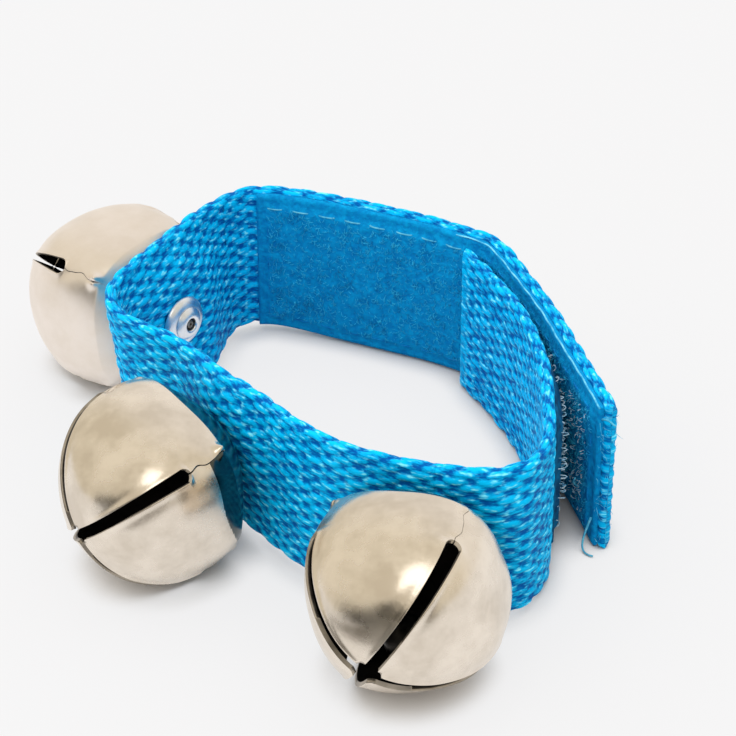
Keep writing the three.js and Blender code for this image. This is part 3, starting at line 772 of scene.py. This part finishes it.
# %% Tape bodies
LOOP_SPAN = (-12.2, 11.6)
HOOK_SPAN = (-10.75, 10.75)
BORDER = 1.9
TAPE_THICKNESS = 1.1
LOOP_LENGTH = 90
LOOP_SETBACK = 0.6
HOOK_START = 2.5
HOOK_END = 47.5
TAPE_STEP = 0.4
TAPE_COLUMNS = 61
EDGE_ROUND = 0.3
NAP_BLUR = 1.6
web_face = WEBBING_THICKNESS / 2
tape_face = web_face + TAPE_THICKNESS
tape_root = web_face - 0.15


def soft_noise(shape, size, seed):
    """Smooth random heights: white noise blurred by a Gaussian of so many samples, spread to one."""
    white = np.random.default_rng(seed).normal(size=shape)
    down, across = np.fft.fftfreq(shape[0])[:, None], np.fft.fftfreq(shape[1])[None]
    blur = np.exp(-2 * (np.pi * size) ** 2 * (down**2 + across**2))
    smooth = np.fft.ifft2(np.fft.fft2(white) * blur).real
    return smooth / smooth.std()


def tape_mesh(name, start, end, span, side, border_drop, nap, material, seed):
    """A tape on one side of the webbing: across it the height rises from a thin border to the
    nap on a smooth step, the nap wavers with soft noise, and the long edges are rounded."""
    station = np.linspace(start, end, int((end - start) / TAPE_STEP))[:, None]
    width = np.linspace(*span, TAPE_COLUMNS)[None]
    inset = np.minimum(np.minimum(width - span[0], span[1] - width),
                       np.minimum(station - start, end - station))
    rise = step_up(inset, BORDER * 0.7, BORDER * 1.3)
    rounding = np.sqrt(np.clip(1 - (1 - np.clip(inset / EDGE_ROUND, 0, 1)) ** 2, 0, 1))
    wave = soft_noise((len(station), width.size), NAP_BLUR, seed) * nap * rise
    top = tape_face - border_drop * (1 - rise) - EDGE_ROUND * (1 - rounding) + wave
    under = np.full_like(station, tape_root)
    depth = np.concatenate([under, top, under], axis=1) * side
    across = np.concatenate([width[:, :1], width, width[:, -1:]], axis=1)
    rings = strap_point(station, depth, swollen(station, across))
    return make_piece(name, *capped_sweep(rings), [material])


loop_end = strap_length - LOOP_SETBACK
loop_start = loop_end - LOOP_LENGTH
loop_cloth = tape_mesh("loop_tape_cloth", loop_start, loop_end, LOOP_SPAN, -1, 0.45, 0.07, loop_ground, 11)
on_tail(loop_cloth, "tape", "loop_tape")
hook_cloth = tape_mesh("hook_tape_cloth", HOOK_START, HOOK_END, HOOK_SPAN, 1, 0.75, 0.0, hook_ground_painted_shade, 12)
on_tongue(hook_cloth, "tape", "hook_tape")

# %% Edge cord of the loop tape
CORD_LENGTH = 54
CORD_RADIUS = 0.14
CORD_DEPTH = 0.52

edge_cord = mottled("tape_edge", (120, 210, 234), (40, 160, 206), 700, (0.5, 0.7), (0.2, 0.1),
                    Specular_IOR_Level=0.2)
cord_station = np.linspace(loop_end - CORD_LENGTH, loop_end - 0.2, 160)[None]
cord_width = LOOP_SPAN[1] - 0.05 + 0.08 * np.sin(cord_station * 1.3)
cord_paths = strap_point(cord_station, -(web_face + CORD_DEPTH), swollen(cord_station, cord_width))
cord = rods("loop_tape_edge", cord_paths, CORD_RADIUS, 6, strap_frame(cord_station)[1], edge_cord)
on_tail(cord, "tape", "loop_tape")

# %% Loop fibres
FIBRE_COUNT = 4300
FIBRE_RADIUS = 0.05

random = np.random.default_rng(21)
inset = BORDER + 0.3
one_each = (FIBRE_COUNT, 1)
root_station = random.uniform(loop_start + inset, loop_end - inset, one_each)
root_width = random.uniform(LOOP_SPAN[0] + inset, LOOP_SPAN[1] - inset, one_each)
heading = random.uniform(0, 2 * np.pi, one_each)
span = random.uniform(0.5, 1.1, one_each)
rise = random.uniform(0.15, 0.42, one_each)
t = np.linspace(0, 1, 6)[None]
arch = rise * np.sin(np.pi * t) - 0.1
reach = span * (t - 0.5)
fibre_paths = strap_point(root_station + reach * np.cos(heading), -(tape_face + arch),
                          swollen(root_station, root_width + reach * np.sin(heading)))
nap = rods("loop_tape_nap", fibre_paths, FIBRE_RADIUS, 4, strap_frame(root_station)[1], loop_fibre)
on_tail(nap, "tape", "loop_tape")

# %% [markdown]
# ## Hook tape
# Stiff hook tape is sewn to the outside of the tongue. Its hooks are short bent nylon wires in
# rough rows, which glint at the edge of the closure. Each is a six-point bent path with a thin
# rod round it, turned any way, and they stand higher where the tail has come away.

# %% Hooks
HOOK_ROW = 1.6
HOOK_STEP = 1.4
HOOK_RADIUS = 0.08
HOOK_MARGINS = (2, 1.5)
LOW_HOOKS, LOW_SHARE = -4, 0.55
HOOK_ASIDE = np.array([[0, 0.04, 0.16, 0.45, 0.7, 0.74]])
HOOK_UP = np.array([[-0.1, 0.4, 0.78, 1.0, 0.88, 0.6]])


def across_way(station, turn):
    """The direction on the strap square to a turn: across by its cosine, back along by its sine."""
    along, _, across, _ = strap_frame(station)
    return across * np.cos(turn)[..., None] - along * np.sin(turn)[..., None]


random = np.random.default_rng(31)
first, last = HOOK_MARGINS
hook_station, hook_width = (grid.reshape(-1, 1) for grid in np.meshgrid(
    np.arange(HOOK_START + first, HOOK_END - last, HOOK_STEP),
    np.arange(HOOK_SPAN[0] + first, HOOK_SPAN[1] - last, HOOK_ROW)))
hook_station = hook_station + random.uniform(-0.6, 0.6, hook_station.shape)
hook_width = hook_width + random.uniform(-0.7, 0.7, hook_width.shape)
hook_turn = random.uniform(0, 2 * np.pi, hook_station.shape)
hook_height = eased([(knots[PEEL_START], 1.0), (HOOK_END - 8, 1.75)], hook_station)
hook_height = hook_height * random.uniform(0.4, 1.05, hook_station.shape)
hook_height = hook_height * np.where(hook_width < LOW_HOOKS, LOW_SHARE, 1.0)
bent_aside = HOOK_ASIDE * random.uniform(0.6, 1.5, hook_station.shape)
hook_root = tape_face - 0.75
hook_paths = strap_point(hook_station + bent_aside * np.cos(hook_turn), hook_root + HOOK_UP * hook_height,
                         hook_width + bent_aside * np.sin(hook_turn))
hooks = rods("hook_tape_hooks", hook_paths, HOOK_RADIUS, 5, across_way(hook_station, hook_turn), hook_nylon)
on_tongue(hooks, "tape", "hook_tape")
print(len(hook_paths), "hooks")

# %% [markdown]
# ## Pulled loops
# Where the closure has been opened many times the hooks have pulled loops out of the tape. They
# stand up as pale curls in the gap between tongue and tail: each starts on the loop tape, rises
# towards the tongue and curls over, like a hook but longer and thinner.

# %% Pulled loops
PULLED_COUNT = 240
PULLED_RADIUS = 0.045
PULLED_SWING = 0.32
PULLED_RISE_SHARE = 0.62

random = np.random.default_rng(35)
one_each = (PULLED_COUNT, 1)
t = np.linspace(0, 1, 7)[None]
pulled_station = loop_end - 4 - 26 * random.uniform(0, 1, one_each) ** 1.2
pulled_width = random.uniform(-9, 9, one_each)
pulled_turn = random.uniform(0, 2 * np.pi, one_each)
pulled_rise = random.uniform(0.2, 0.9, one_each)
pulled_curl = random.uniform(2.5, 5.0, one_each)
swing = PULLED_SWING * (1 - np.cos(pulled_curl * t))
pulled_depth = -(tape_face + pulled_rise * np.sin(pulled_curl * t * PULLED_RISE_SHARE))
pulled_paths = strap_point(pulled_station + swing * np.cos(pulled_turn), pulled_depth,
                           pulled_width + swing * np.sin(pulled_turn))
pulled = rods("loop_tape_pulled_loops", pulled_paths, PULLED_RADIUS, 4,
              across_way(pulled_station, pulled_turn), hook_nylon)
on_tail(pulled, "tape", "loop_tape")

# %% [markdown]
# ## Stitching
# Both tapes are sewn on by a line of stitches just inside their edges. On the tape a stitch is
# a pale dash that lies on the cloth and dives in at both ends, and the other side of the
# webbing shows the same row. A stitch is a short rod whose depth follows a half sine.

# %% Stitches
STITCH = 2.9
STITCH_GAP = 1.7
SEAM_INSET = 2.1
STITCH_PROUD = 0.05
THREAD_RADIUS = 0.13

thread_pale = mottled("sewing_thread", (104, 190, 212), (58, 158, 194), 900, (0.6, 0.8), (0.3, 0.1),
                      Specular_IOR_Level=0.1)
thread_blue = mottled("sewing_thread_blue", (6, 140, 200), (0, 108, 176), 900, (0.6, 0.8), (0.3, 0.1),
                      Specular_IOR_Level=0.1)


def seam_stitches(start, end, span, runs):
    """Start and end of each stitch, as station and width, on the named runs of a four-sided seam."""
    pitch = STITCH + STITCH_GAP
    low, high = span[0] + SEAM_INSET, span[1] - SEAM_INSET
    along, across = np.arange(start, end - STITCH, pitch), np.arange(low, high - STITCH, pitch)
    sides = {run: (along, along + STITCH, along * 0 + width, along * 0 + width)
             for run, width in (("low", low), ("high", high))}
    sides |= {run: (across * 0 + station, across * 0 + station, across, across + STITCH)
              for run, station in (("start", start), ("end", end))}
    return [np.concatenate(column)[:, None] for column in zip(*(sides[run] for run in runs))]


ALL_RUNS = ("low", "high", "start", "end")


def stitch_mesh(name, start, end, span, surface, material, runs=ALL_RUNS, sink=0.32):
    """Rods from stitch to stitch: lying on a surface depth in the middle, sunk at both ends."""
    s0, s1, w0, w1 = seam_stitches(start + SEAM_INSET, end - SEAM_INSET, span, runs)
    t = np.linspace(0, 1, 9)[None]
    depth = surface + np.sign(surface) * (sink * np.sqrt(np.sin(np.pi * t)) - sink + STITCH_PROUD)
    station = s0 + (s1 - s0) * t
    paths = strap_point(station, depth, swollen(station, w0 + (w1 - w0) * t))
    return rods(name, paths, THREAD_RADIUS, 6, strap_frame((s0 + s1) / 2)[1], material)


worn_from = loop_end - CORD_LENGTH + 4
worn_face = -tape_face + 0.12
for kind, start, end, surface, thread, runs in (
        ("top", loop_start, worn_from, -tape_face, thread_pale, ("high",)),
        ("other", loop_start, loop_end, worn_face, thread_blue, ("low", "start", "end")),
        ("worn", worn_from, loop_end, worn_face, thread_blue, ("high",)),
        ("back", loop_start, loop_end, web_face, thread_blue, ALL_RUNS)):
    seam = stitch_mesh(f"loop_tape_{kind}_stitches", start, end, LOOP_SPAN, surface, thread, runs)
    on_tail(seam, "thread", "loop_tape_stitching")
for name, surface, thread, runs, sink in (
        ("hook_tape_stitches", tape_face - 0.7, thread_pale, ALL_RUNS, 0.32),
        ("hook_tape_back_stitches", -web_face, thread_blue, ("low", "high"), 0.5)):
    seam = stitch_mesh(name, HOOK_START, HOOK_END, HOOK_SPAN, surface, thread, runs, sink)
    on_tongue(seam, "thread", "hook_tape_stitching")

# %% [markdown]
# ## Frayed ends
# The tail is cut across, so fine filaments stand out of its end, and a few ends of sewing
# thread hang loose there. They are rods along gently curved paths, thinner towards the tip.

# %% Frayed filaments
FRAY_COUNT = 70
FRAY_STEPS = 6
FRAY_RADIUS = 0.05

random = np.random.default_rng(41)
t = np.linspace(0, 1, FRAY_STEPS)[None, :, None]
fray_width = random.uniform(-12, 12, (FRAY_COUNT, 1))
fray_depth = random.uniform(-1.9, 1.0, (FRAY_COUNT, 1))
root = strap_point(np.full((FRAY_COUNT, 1), strap_length - 0.4), fray_depth, fray_width)
along, out, across, _ = strap_frame(np.float64(strap_length))
drift = random.normal(0, 0.45, (FRAY_COUNT, 1, 3))
curl = random.normal(0, 0.5, (FRAY_COUNT, 1, 3))
length = random.uniform(0.4, 1.3, (FRAY_COUNT, 1, 1))
fray_paths = root + length * (t * (along + drift) + t**2 * curl)
fray = rods("tail_end_fray", fray_paths, FRAY_RADIUS * (1.2 - t[..., 0]), 4, out, edge_cord)
on_tail(fray, "thread", "strap_tail")

# %% Loose thread ends
END_STEPS = 14
THREAD_ENDS = np.array([
    [[-0.4, -2.2, -6.8], [-0.6, -3.0, -9.4], [-1.4, -3.4, -12.6], [0.6, -4.0, -12.4], [1.9, -2.4, -12.2]],
    [[-6.6, -2.1, -5.4], [-6.2, -2.9, -4.6], [-5.6, -3.5, -3.8], [-5.0, -3.7, -3.0], [-4.6, -3.5, -2.2]],
    [[-0.6, -1.2, 10.6], [0.2, -1.0, 11.2], [0.8, -0.6, 11.3], [1.3, -0.4, 11.0], [1.8, 0.0, 10.8]],
])


def smooth_path(places, steps):
    """Points along paths of a few places each, by a mean of all places whose weights are the terms
    of the power of t plus 1 minus t, so that the path starts at the first and ends at the last."""
    order = places.shape[1] - 1
    t = np.linspace(0, 1, steps)[:, None]
    number = np.arange(order + 1)
    choose = np.cumprod(np.concatenate([[1.0], (order - number[:-1]) / (number[:-1] + 1)]))
    weight = choose * t**number * (1 - t) ** (order - number)
    return np.einsum("tn,pnk->ptk", weight, places)


ends = smooth_path(THREAD_ENDS, END_STEPS)
end_paths = strap_point(strap_length + ends[..., 0], ends[..., 1], ends[..., 2])
end_radius = np.linspace(0.19, 0.14, END_STEPS)
thread_ends = rods("loose_thread_ends", end_paths, end_radius, 6, across + 0.3 * along, thread_pale)
on_tail(thread_ends, "thread", "loop_tape_stitching")

# %% [markdown]
# ## Rivets and washers
# A blind rivet holds each bell: a domed washer and a ring-shaped head lie on the inside of the
# strap, and the tube goes through cloth and bell to a swollen end. Both are turned pieces, so
# a closed profile of radius and height is carried round the bell's axis. Cutting each corner
# of the profile a few times rounds it as a press does. The broken steel stem is left in the bore.

# %% Rivet finishes and turning
rivet_bright = mottled("rivet_aluminium", (244, 246, 248), (226, 230, 236), 500, (0.28, 0.4), (0.1, 0.05),
                       Metallic=1.0)
stem_steel = mottled("stem_steel", (150, 146, 140), (90, 86, 80), 700, (0.35, 0.55), (0.3, 0.05),
                     Metallic=1.0)
ROUND_SIDES = 72


def rounded(profile, times=3):
    """Corner cutting: each side of a closed outline keeps its middle half, so corners turn round."""
    for _ in range(times):
        after = np.roll(profile, -1, axis=0)
        pair = np.stack([0.75 * profile + 0.25 * after, 0.25 * profile + 0.75 * after], axis=1)
        profile = pair.reshape(-1, 2)
    return profile


def turned(name, profile, bell, material):
    """A closed outline of radius and height carried round the bell's axis, heights from its seat."""
    angle = np.arange(ROUND_SIDES)[:, None] * 2 * np.pi / ROUND_SIDES
    radius, height = profile[:, 0], profile[:, 1]
    local = np.stack(np.broadcast_arrays(radius * np.cos(angle), radius * np.sin(angle), height), axis=-1)
    points = local.reshape(-1, 3) @ bell["turn"] + bell["seat"]
    faces = [grid_quads(ROUND_SIDES, len(profile), wrap_columns=True, wrap_rows=True)]
    return make_piece(name, points, faces, [material])


print("turning ready")

# %% Washers, rivets and stems
WASHER_OUTLINE = np.array([[1.7, -2.2], [1.7, -3.35], [2.1, -3.45], [2.9, -3.4], [3.6, -3.12], [4.0, -2.8],
                           [4.18, -2.5], [4.18, -2.2], [3.6, -2.2]])
RIVET_OUTLINE = np.array([[1.0, 3.9], [1.0, -3.9], [1.12, -4.2], [1.5, -4.28], [2.0, -4.12], [2.45, -3.8],
                          [2.85, -3.42], [1.62, -3.42], [1.6, 1.2], [2.9, 1.5], [2.9, 3.3], [1.6, 3.9]])
STEM_OUTLINE = np.array([[0.02, -4.0], [0.62, -4.0], [0.7, -3.8], [0.7, 4.2], [1.45, 4.2], [1.45, 5.2],
                         [0.7, 5.7], [0.02, 5.7]])
carrier = {"bell_1": "band_side", "bell_2": "band_front", "bell_3": "band_front"}
for name, bell in bells.items():
    for kind, outline, finish, slot in (("washer", WASHER_OUTLINE, rivet_bright, "rivet_metal"),
                                        ("rivet", RIVET_OUTLINE, rivet_bright, "rivet_metal"),
                                        ("rivet_stem", STEM_OUTLINE, stem_steel, "steel")):
        part = turned(f"{name}_{kind}_turned", rounded(outline), bell, finish)
        stands_for(part, slot, f"{name}_{kind}")
        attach(part, carrier[name])

# %% [markdown]
# ## Bells
# Each bell is one cross of thin nickel-plated sheet, folded up into four petals. Between the
# petals run open slots from the square tip to a round end at the bell's middle. Below that the
# petals' edges meet in a wavy seam, and where the sheet was squeezed at the end of the seam it
# stands up in a small bright ear. A petal is a function of two numbers, from the tip down to
# the base and from one slot to the next, so the slot's width simply takes its share of the
# petal's angle. Lips, crumples and soft dents move points in or out. A Solidify modifier gives
# the sheet its thickness, and its inside is painted dark as shade. On two bells the base, and
# on one a strip beside a seam, get a dark metal as painted shade in their reflection.
# The tips were bent by hand and lean a little.

# %% Bell finishes
nickel = mottled("bell_nickel", (242, 231, 216), (219, 207, 191), 150, (0.19, 0.31), (0.1, 0.2),
                 Metallic=1.0)
# Painted shade: the inside of the sheet is a dull dark colour, for the shade inside the bell.
inside_painted_shade = mottled("bell_inside_painted_shade", (40, 36, 32), (16, 14, 12), 200, (0.8, 0.95), (0.1, 0.1),
                    Specular_IOR_Level=0.1)
nickel_dull = mottled("bell_nickel_dull", (244, 234, 224), (234, 222, 208), 130, (0.36, 0.44), (0.1, 0.2),
                      Metallic=1.0)
# Painted shade: a dark copy of the nickel for the base, and for a strip beside one seam, where the bells
# reflect the strap's shaded side.
base_painted_shade = mottled("base_painted_shade", (92, 98, 96), (74, 80, 78), 130, (0.14, 0.2), (0.1, 0.1), Metallic=1.0)
bell_edge = mottled("bell_edge", (186, 176, 162), (150, 141, 128), 300, (0.4, 0.5), (0.1, 0.1),
                    Metallic=1.0)
print("bell finishes ready")

# %% Form of the folded bell
BELL_RADIUS = 14.1
BELL_FLATNESS = 0.946
BELL_SQUARENESS = 3
SIDE_DEPTH = 12.5
SIDE_FULLNESS = 2.67
FOLD = -7.0
BASE_RADIUS = 5.25
BASE_FULLNESS = 1.5
SHEET = 0.7


def corner_share(turn):
    """How much further than its middle a rounded square reaches at a turn: the inverse root of the
    sum of the cosine's and the sine's powers."""
    powers = np.abs(np.cos(turn)) ** BELL_SQUARENESS + np.abs(np.sin(turn)) ** BELL_SQUARENESS
    return powers ** (-1 / BELL_SQUARENESS)


def petal_ring(height):
    """Reach over a petal's middle and squareness: a ball over the bell's middle, fuller sides under it."""
    sine = np.sqrt(np.clip(1 - (height / BELL_RADIUS) ** 2, 0, 1))
    dome = BELL_RADIUS * sine * (1 + (BELL_FLATNESS - 1) * sine**2)
    closed = (np.clip(-height, 0, None) / SIDE_DEPTH) ** SIDE_FULLNESS
    side = BELL_RADIUS * BELL_FLATNESS * (1 - closed) ** (1 / SIDE_FULLNESS)
    return np.where(height > 0, dome, side), np.where(height > 0, sine**2, 1.0)


def base_ring(share):
    """Reach, squareness and height of the base, from the fold to the flat that the rivet goes through."""
    fold_reach = petal_ring(np.float64(FOLD))[0]
    height = -BASE_DEPTH + (FOLD + BASE_DEPTH) * (1 - share) ** BASE_FULLNESS
    return fold_reach + (BASE_RADIUS - fold_reach) * share, 1 - share, height


print("reach over a petal at the fold:", round(float(petal_ring(np.float64(FOLD))[0]), 2), "mm")

# %% Rows of a petal
SLOT_END = -0.3
SEAM_END = -6.7
HOLE_RADIUS = 1.85
SLOT_ROWS, ROUND_ROWS, SEAM_ROWS, BASE_ROWS, FLAT_ROWS = 48, 18, 44, 18, 7
SLOT_WAIST = 0.08


def petal_rows(tip_reach, tip_gap, keyhole, seam_half):
    """Row by row from the tip to the hole: height, reach, squareness and half the gap to the next petal.
    The gap goes evenly from the tip's to the radius of the slot's round end, a little waisted."""
    middle = SLOT_END + keyhole
    polar = np.linspace(np.arcsin(tip_reach / BELL_RADIUS), np.arccos(middle / BELL_RADIUS), SLOT_ROWS)
    share = (polar - polar[0]) / (polar[-1] - polar[0])
    turn = np.linspace(np.pi / 2, np.pi - 0.04, ROUND_ROWS)[1:]
    seam = np.linspace(SLOT_END - 0.1, SEAM_END, SEAM_ROWS)
    height = np.concatenate([BELL_RADIUS * np.cos(polar), middle + keyhole * np.cos(turn), seam,
                             [FOLD + 0.15, FOLD]])
    slot_gap = tip_gap + (keyhole - tip_gap) * share - SLOT_WAIST * keyhole * np.sin(np.pi * share)
    gap = np.concatenate([slot_gap, np.maximum(keyhole * np.sin(turn), seam_half),
                          seam_half * np.sqrt(np.linspace(1, 0, SEAM_ROWS)), [0, 0]])
    reach, square = petal_ring(height)
    base_share = np.concatenate([[0.02], np.linspace(0.06, 1, BASE_ROWS)])
    base_reach, base_square, base_height = base_ring(base_share)
    flat_reach = np.linspace(BASE_RADIUS, HOLE_RADIUS, FLAT_ROWS)[1:]
    still = np.zeros_like(flat_reach)
    return (np.concatenate([height, base_height, still - BASE_DEPTH]),
            np.concatenate([reach, base_reach, flat_reach]),
            np.concatenate([square, base_square, still]),
            np.concatenate([gap, base_reach * 0, still]))


print("a petal has", len(petal_rows(2, 1, 1, 0.1)[0]), "rows")


# %% Waves and fading
def waves(place, count, low, high, seed):
    """A sum of sine waves of a place in space, with random directions and phases, spread to one."""
    random = np.random.default_rng(seed)
    way = unit(random.normal(size=(count, 3))) * random.uniform(low, high, (count, 1))
    phase = random.uniform(0, 2 * np.pi, count)
    return np.sin(place @ way.T + phase).sum(axis=-1) / np.sqrt(count / 2)


def faded(distance, reach):
    """A hump that is one at no distance, and falls by e to the minus square of its share of the reach."""
    return np.exp(-((distance / reach) ** 2))


print("a hump half its reach away:", round(float(faded(0.5, 1)), 2))


# %% Petals
PETAL_COLUMNS = 41
SEAM_TOP = (SLOT_END + 1.2, SLOT_END - 0.8)
SEAM_FOOT = (SEAM_END - 0.3, SEAM_END + 0.6)
LIP_HEIGHT, LIP_REACH = 0.17, 0.5
EAR_UP, EAR_LENGTH, EAR_INSET, EAR_REACH = 0.6, 0.75, 0.4, 0.6
PINCH_HEIGHT, PINCH_LENGTH, PINCH_REACH = 0.05, 1.4, 1.8
DENT_DEPTH, FINE_DENT_DEPTH = 0.06, 0.01


def petal_points(seed, ears, *slot):
    """Four petals as one array: petal, row and column. A petal's angle gives way to half the gap on each
    side, its seam edges wriggle, and lips, ridges, ears and dents move its points in or out."""
    random = np.random.default_rng(seed)
    height, reach, square, gap = (rows[None, :, None] for rows in petal_rows(*slot))
    column = np.sin(np.linspace(-np.pi / 2, np.pi / 2, PETAL_COLUMNS))[None, None]
    petal = np.arange(4)[:, None, None]
    corner_reach = reach * (1 + (corner_share(np.pi / 4) - 1) * square)
    half_angle = np.pi / 4 - np.arcsin(np.clip(gap / corner_reach, 0, 1))
    turn = petal * np.pi / 2 + column * half_angle
    to_edge = (1 - np.abs(column)) * half_angle * reach
    seam = step_up(height, *SEAM_TOP) * step_up(height, *SEAM_FOOT)
    slot_number = (petal + (column < 0) * 3) % 4
    swing = random.uniform(0, 2 * np.pi, 4)[slot_number]
    wriggle = 0.24 * np.sin(height * 1.4 + swing) + 0.06 * np.sin(height * 3.0 + 2 * swing)
    turn = turn + wriggle * seam * faded(to_edge, 2.0) / np.maximum(reach, 1)
    out = reach * (1 + (corner_share(turn) - 1) * square)
    place = np.stack([out * np.cos(turn), out * np.sin(turn), height + 0 * turn], axis=-1)
    slot_part = step_up(height, SLOT_END - 0.4, SLOT_END + 0.8)
    lip = LIP_HEIGHT * slot_part * faded(to_edge, LIP_REACH)
    crumple = waves(place, 8, 1.2, 2.6, seed + 50)
    ridge = seam * faded(to_edge, 0.8) * (0.05 + 0.07 * crumple)
    ear = np.array(ears)[slot_number] * np.where(column < 0, 1, 0.5)
    ear = ear * faded(height - SEAM_END - EAR_UP, EAR_LENGTH) * faded(to_edge - EAR_INSET, EAR_REACH)
    pinch = PINCH_HEIGHT * crumple * faded(height - SLOT_END, PINCH_LENGTH) * faded(to_edge, PINCH_REACH)
    dent = DENT_DEPTH * waves(place, 10, 0.2, 0.45, seed + 80)
    dent = dent + FINE_DENT_DEPTH * waves(place, 14, 0.9, 1.6, seed + 90)
    dent = dent * step_up(height, -BASE_DEPTH, FOLD)
    return place + unit(place) * (lip + ridge + ear + pinch + dent)[..., None]


print("petal points:", petal_points(100, (0.4, 0.4, 0.4, 1), 2, 1, 1, 0.1).shape)

# %% Bell meshes
BELL_LOOKS = {
    "bell_1": {"ears": (0.4, 0.4, 0.4, 1.35), "slot": (0.45, 0.12, 1.3, 0.07), "lean": (-0.8, 0.3, 0.1),
               "shell_metals": (nickel_dull, nickel_dull), "shaded": 0},
    "bell_2": {"ears": (0.4, 0.4, 0.4, 1.0), "slot": (1.7, 0.9, 1.15, 0.11), "lean": (0.9, -1.1, -0.1),
               "shell_metals": (nickel, base_painted_shade), "shaded": 3.4},
    "bell_3": {"ears": (0.7, 0.3, 0.3, 0.35), "slot": (2.2, 1.0, 1.2, 0.04), "lean": (-1.2, -0.8, -0.3),
               "shell_metals": (nickel, base_painted_shade), "shaded": 0}}


def bell_mesh(name, bell, seed, ears, slot, lean, shell_metals, shaded):
    """The petals turned and carried to the bell's place, with the tips leaning by the fourth power of
    their height over the base, and their shared edges welded below the seam. The second metal
    covers the base, and a shaded height beside the seam of one petal, as painted shade."""
    place = petal_points(seed, ears, *slot)
    rows, columns = place.shape[1:3]
    spin = np.array([[np.cos(bell["roll"]), np.sin(bell["roll"]), 0],
                     [-np.sin(bell["roll"]), np.cos(bell["roll"]), 0], [0, 0, 1]])
    share = (place[..., 2].reshape(-1, 1) + BASE_DEPTH) / (BELL_RADIUS + BASE_DEPTH)
    points = place.reshape(-1, 3) @ spin @ bell["turn"] + bell["centre"] + share**4 * np.array(lean)
    faces = np.vstack([grid_quads(rows, columns) + k * rows * columns for k in range(4)])
    obj = make_piece(name, points, [faces], [shell_metals[0], inside_painted_shade, shell_metals[1], inside_painted_shade, bell_edge])
    # Faces below the fold, and on bell_2 a strip beside its third seam, take the second metal, which is the
    # painted shade.
    beside_seam = step_up(np.linspace(-1, 1, columns - 1), -0.9, 0.2) * (np.arange(4)[:, None, None] == 3)
    base_and_shade_faces = petal_rows(*slot)[0][None, :-1, None] < FOLD + 0.01 + shaded * beside_seam
    obj.data.polygons.foreach_set("material_index", base_and_shade_faces.ravel() * 2)
    mesh = bmesh.new()
    mesh.from_mesh(obj.data)
    bmesh.ops.remove_doubles(mesh, verts=mesh.verts, dist=1e-6)
    mesh.to_mesh(obj.data)
    mesh.free()
    return obj


for seed, (name, bell) in enumerate(bells.items(), 100):
    shell = bell_mesh(f"{name}_petals", bell, seed, **BELL_LOOKS[name])
    wall = shell.modifiers.new("sheet", "SOLIDIFY")
    wall.thickness = SHEET * MM
    wall.offset = -1
    wall.material_offset = 1
    wall.material_offset_rim = 4
    stands_for(shell, "bell_nickel", f"{name}_shell")
    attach(shell, name)

# %% [markdown]
# ## Pellets
# A steel pellet lies loose in each bell and makes the sound. Only a glint of it shows through
# the slots. It is a ball: a half circle of rings carried round, in the place of its CAD node.

# %% Pellets
PELLET_RADIUS = 3.5
PELLET_RINGS, PELLET_SIDES = 25, 36

# Painted shade: the steel is darkened for the shade inside the bell.
pellet_painted_shade = mottled("pellet_painted_shade", (84, 80, 76), (44, 42, 38), 400, (0.3, 0.5), (0.2, 0.05),
                       Metallic=1.0)
polar = np.linspace(0.02, np.pi - 0.02, PELLET_RINGS)[:, None]
turn = np.arange(PELLET_SIDES)[None] * 2 * np.pi / PELLET_SIDES
ball = np.stack(np.broadcast_arrays(np.sin(polar) * np.cos(turn), np.sin(polar) * np.sin(turn),
                                    np.cos(polar)), axis=-1)
for name in bells:
    low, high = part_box(f"{name}_pellet")
    middle = np.array([(a + b) / 2 for a, b in zip(low, high)]) / MM
    sphere = capped_sweep(ball * PELLET_RADIUS + middle)
    pellet = make_piece(f"{name}_pellet_ball", *sphere, [pellet_painted_shade])
    stands_for(pellet, "steel", f"{name}_pellet")
    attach(pellet, name.replace("bell", "pellet"))

# %% [markdown]
# ## Size
# The leaning tips of two bells and the frayed end stand up to a millimetre proud of the CAD box,
# and nothing else does.

# %% Finish
low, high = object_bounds()
print("visual box in mm:", [round((b - a) / MM, 1) for a, b in zip(low, high)])
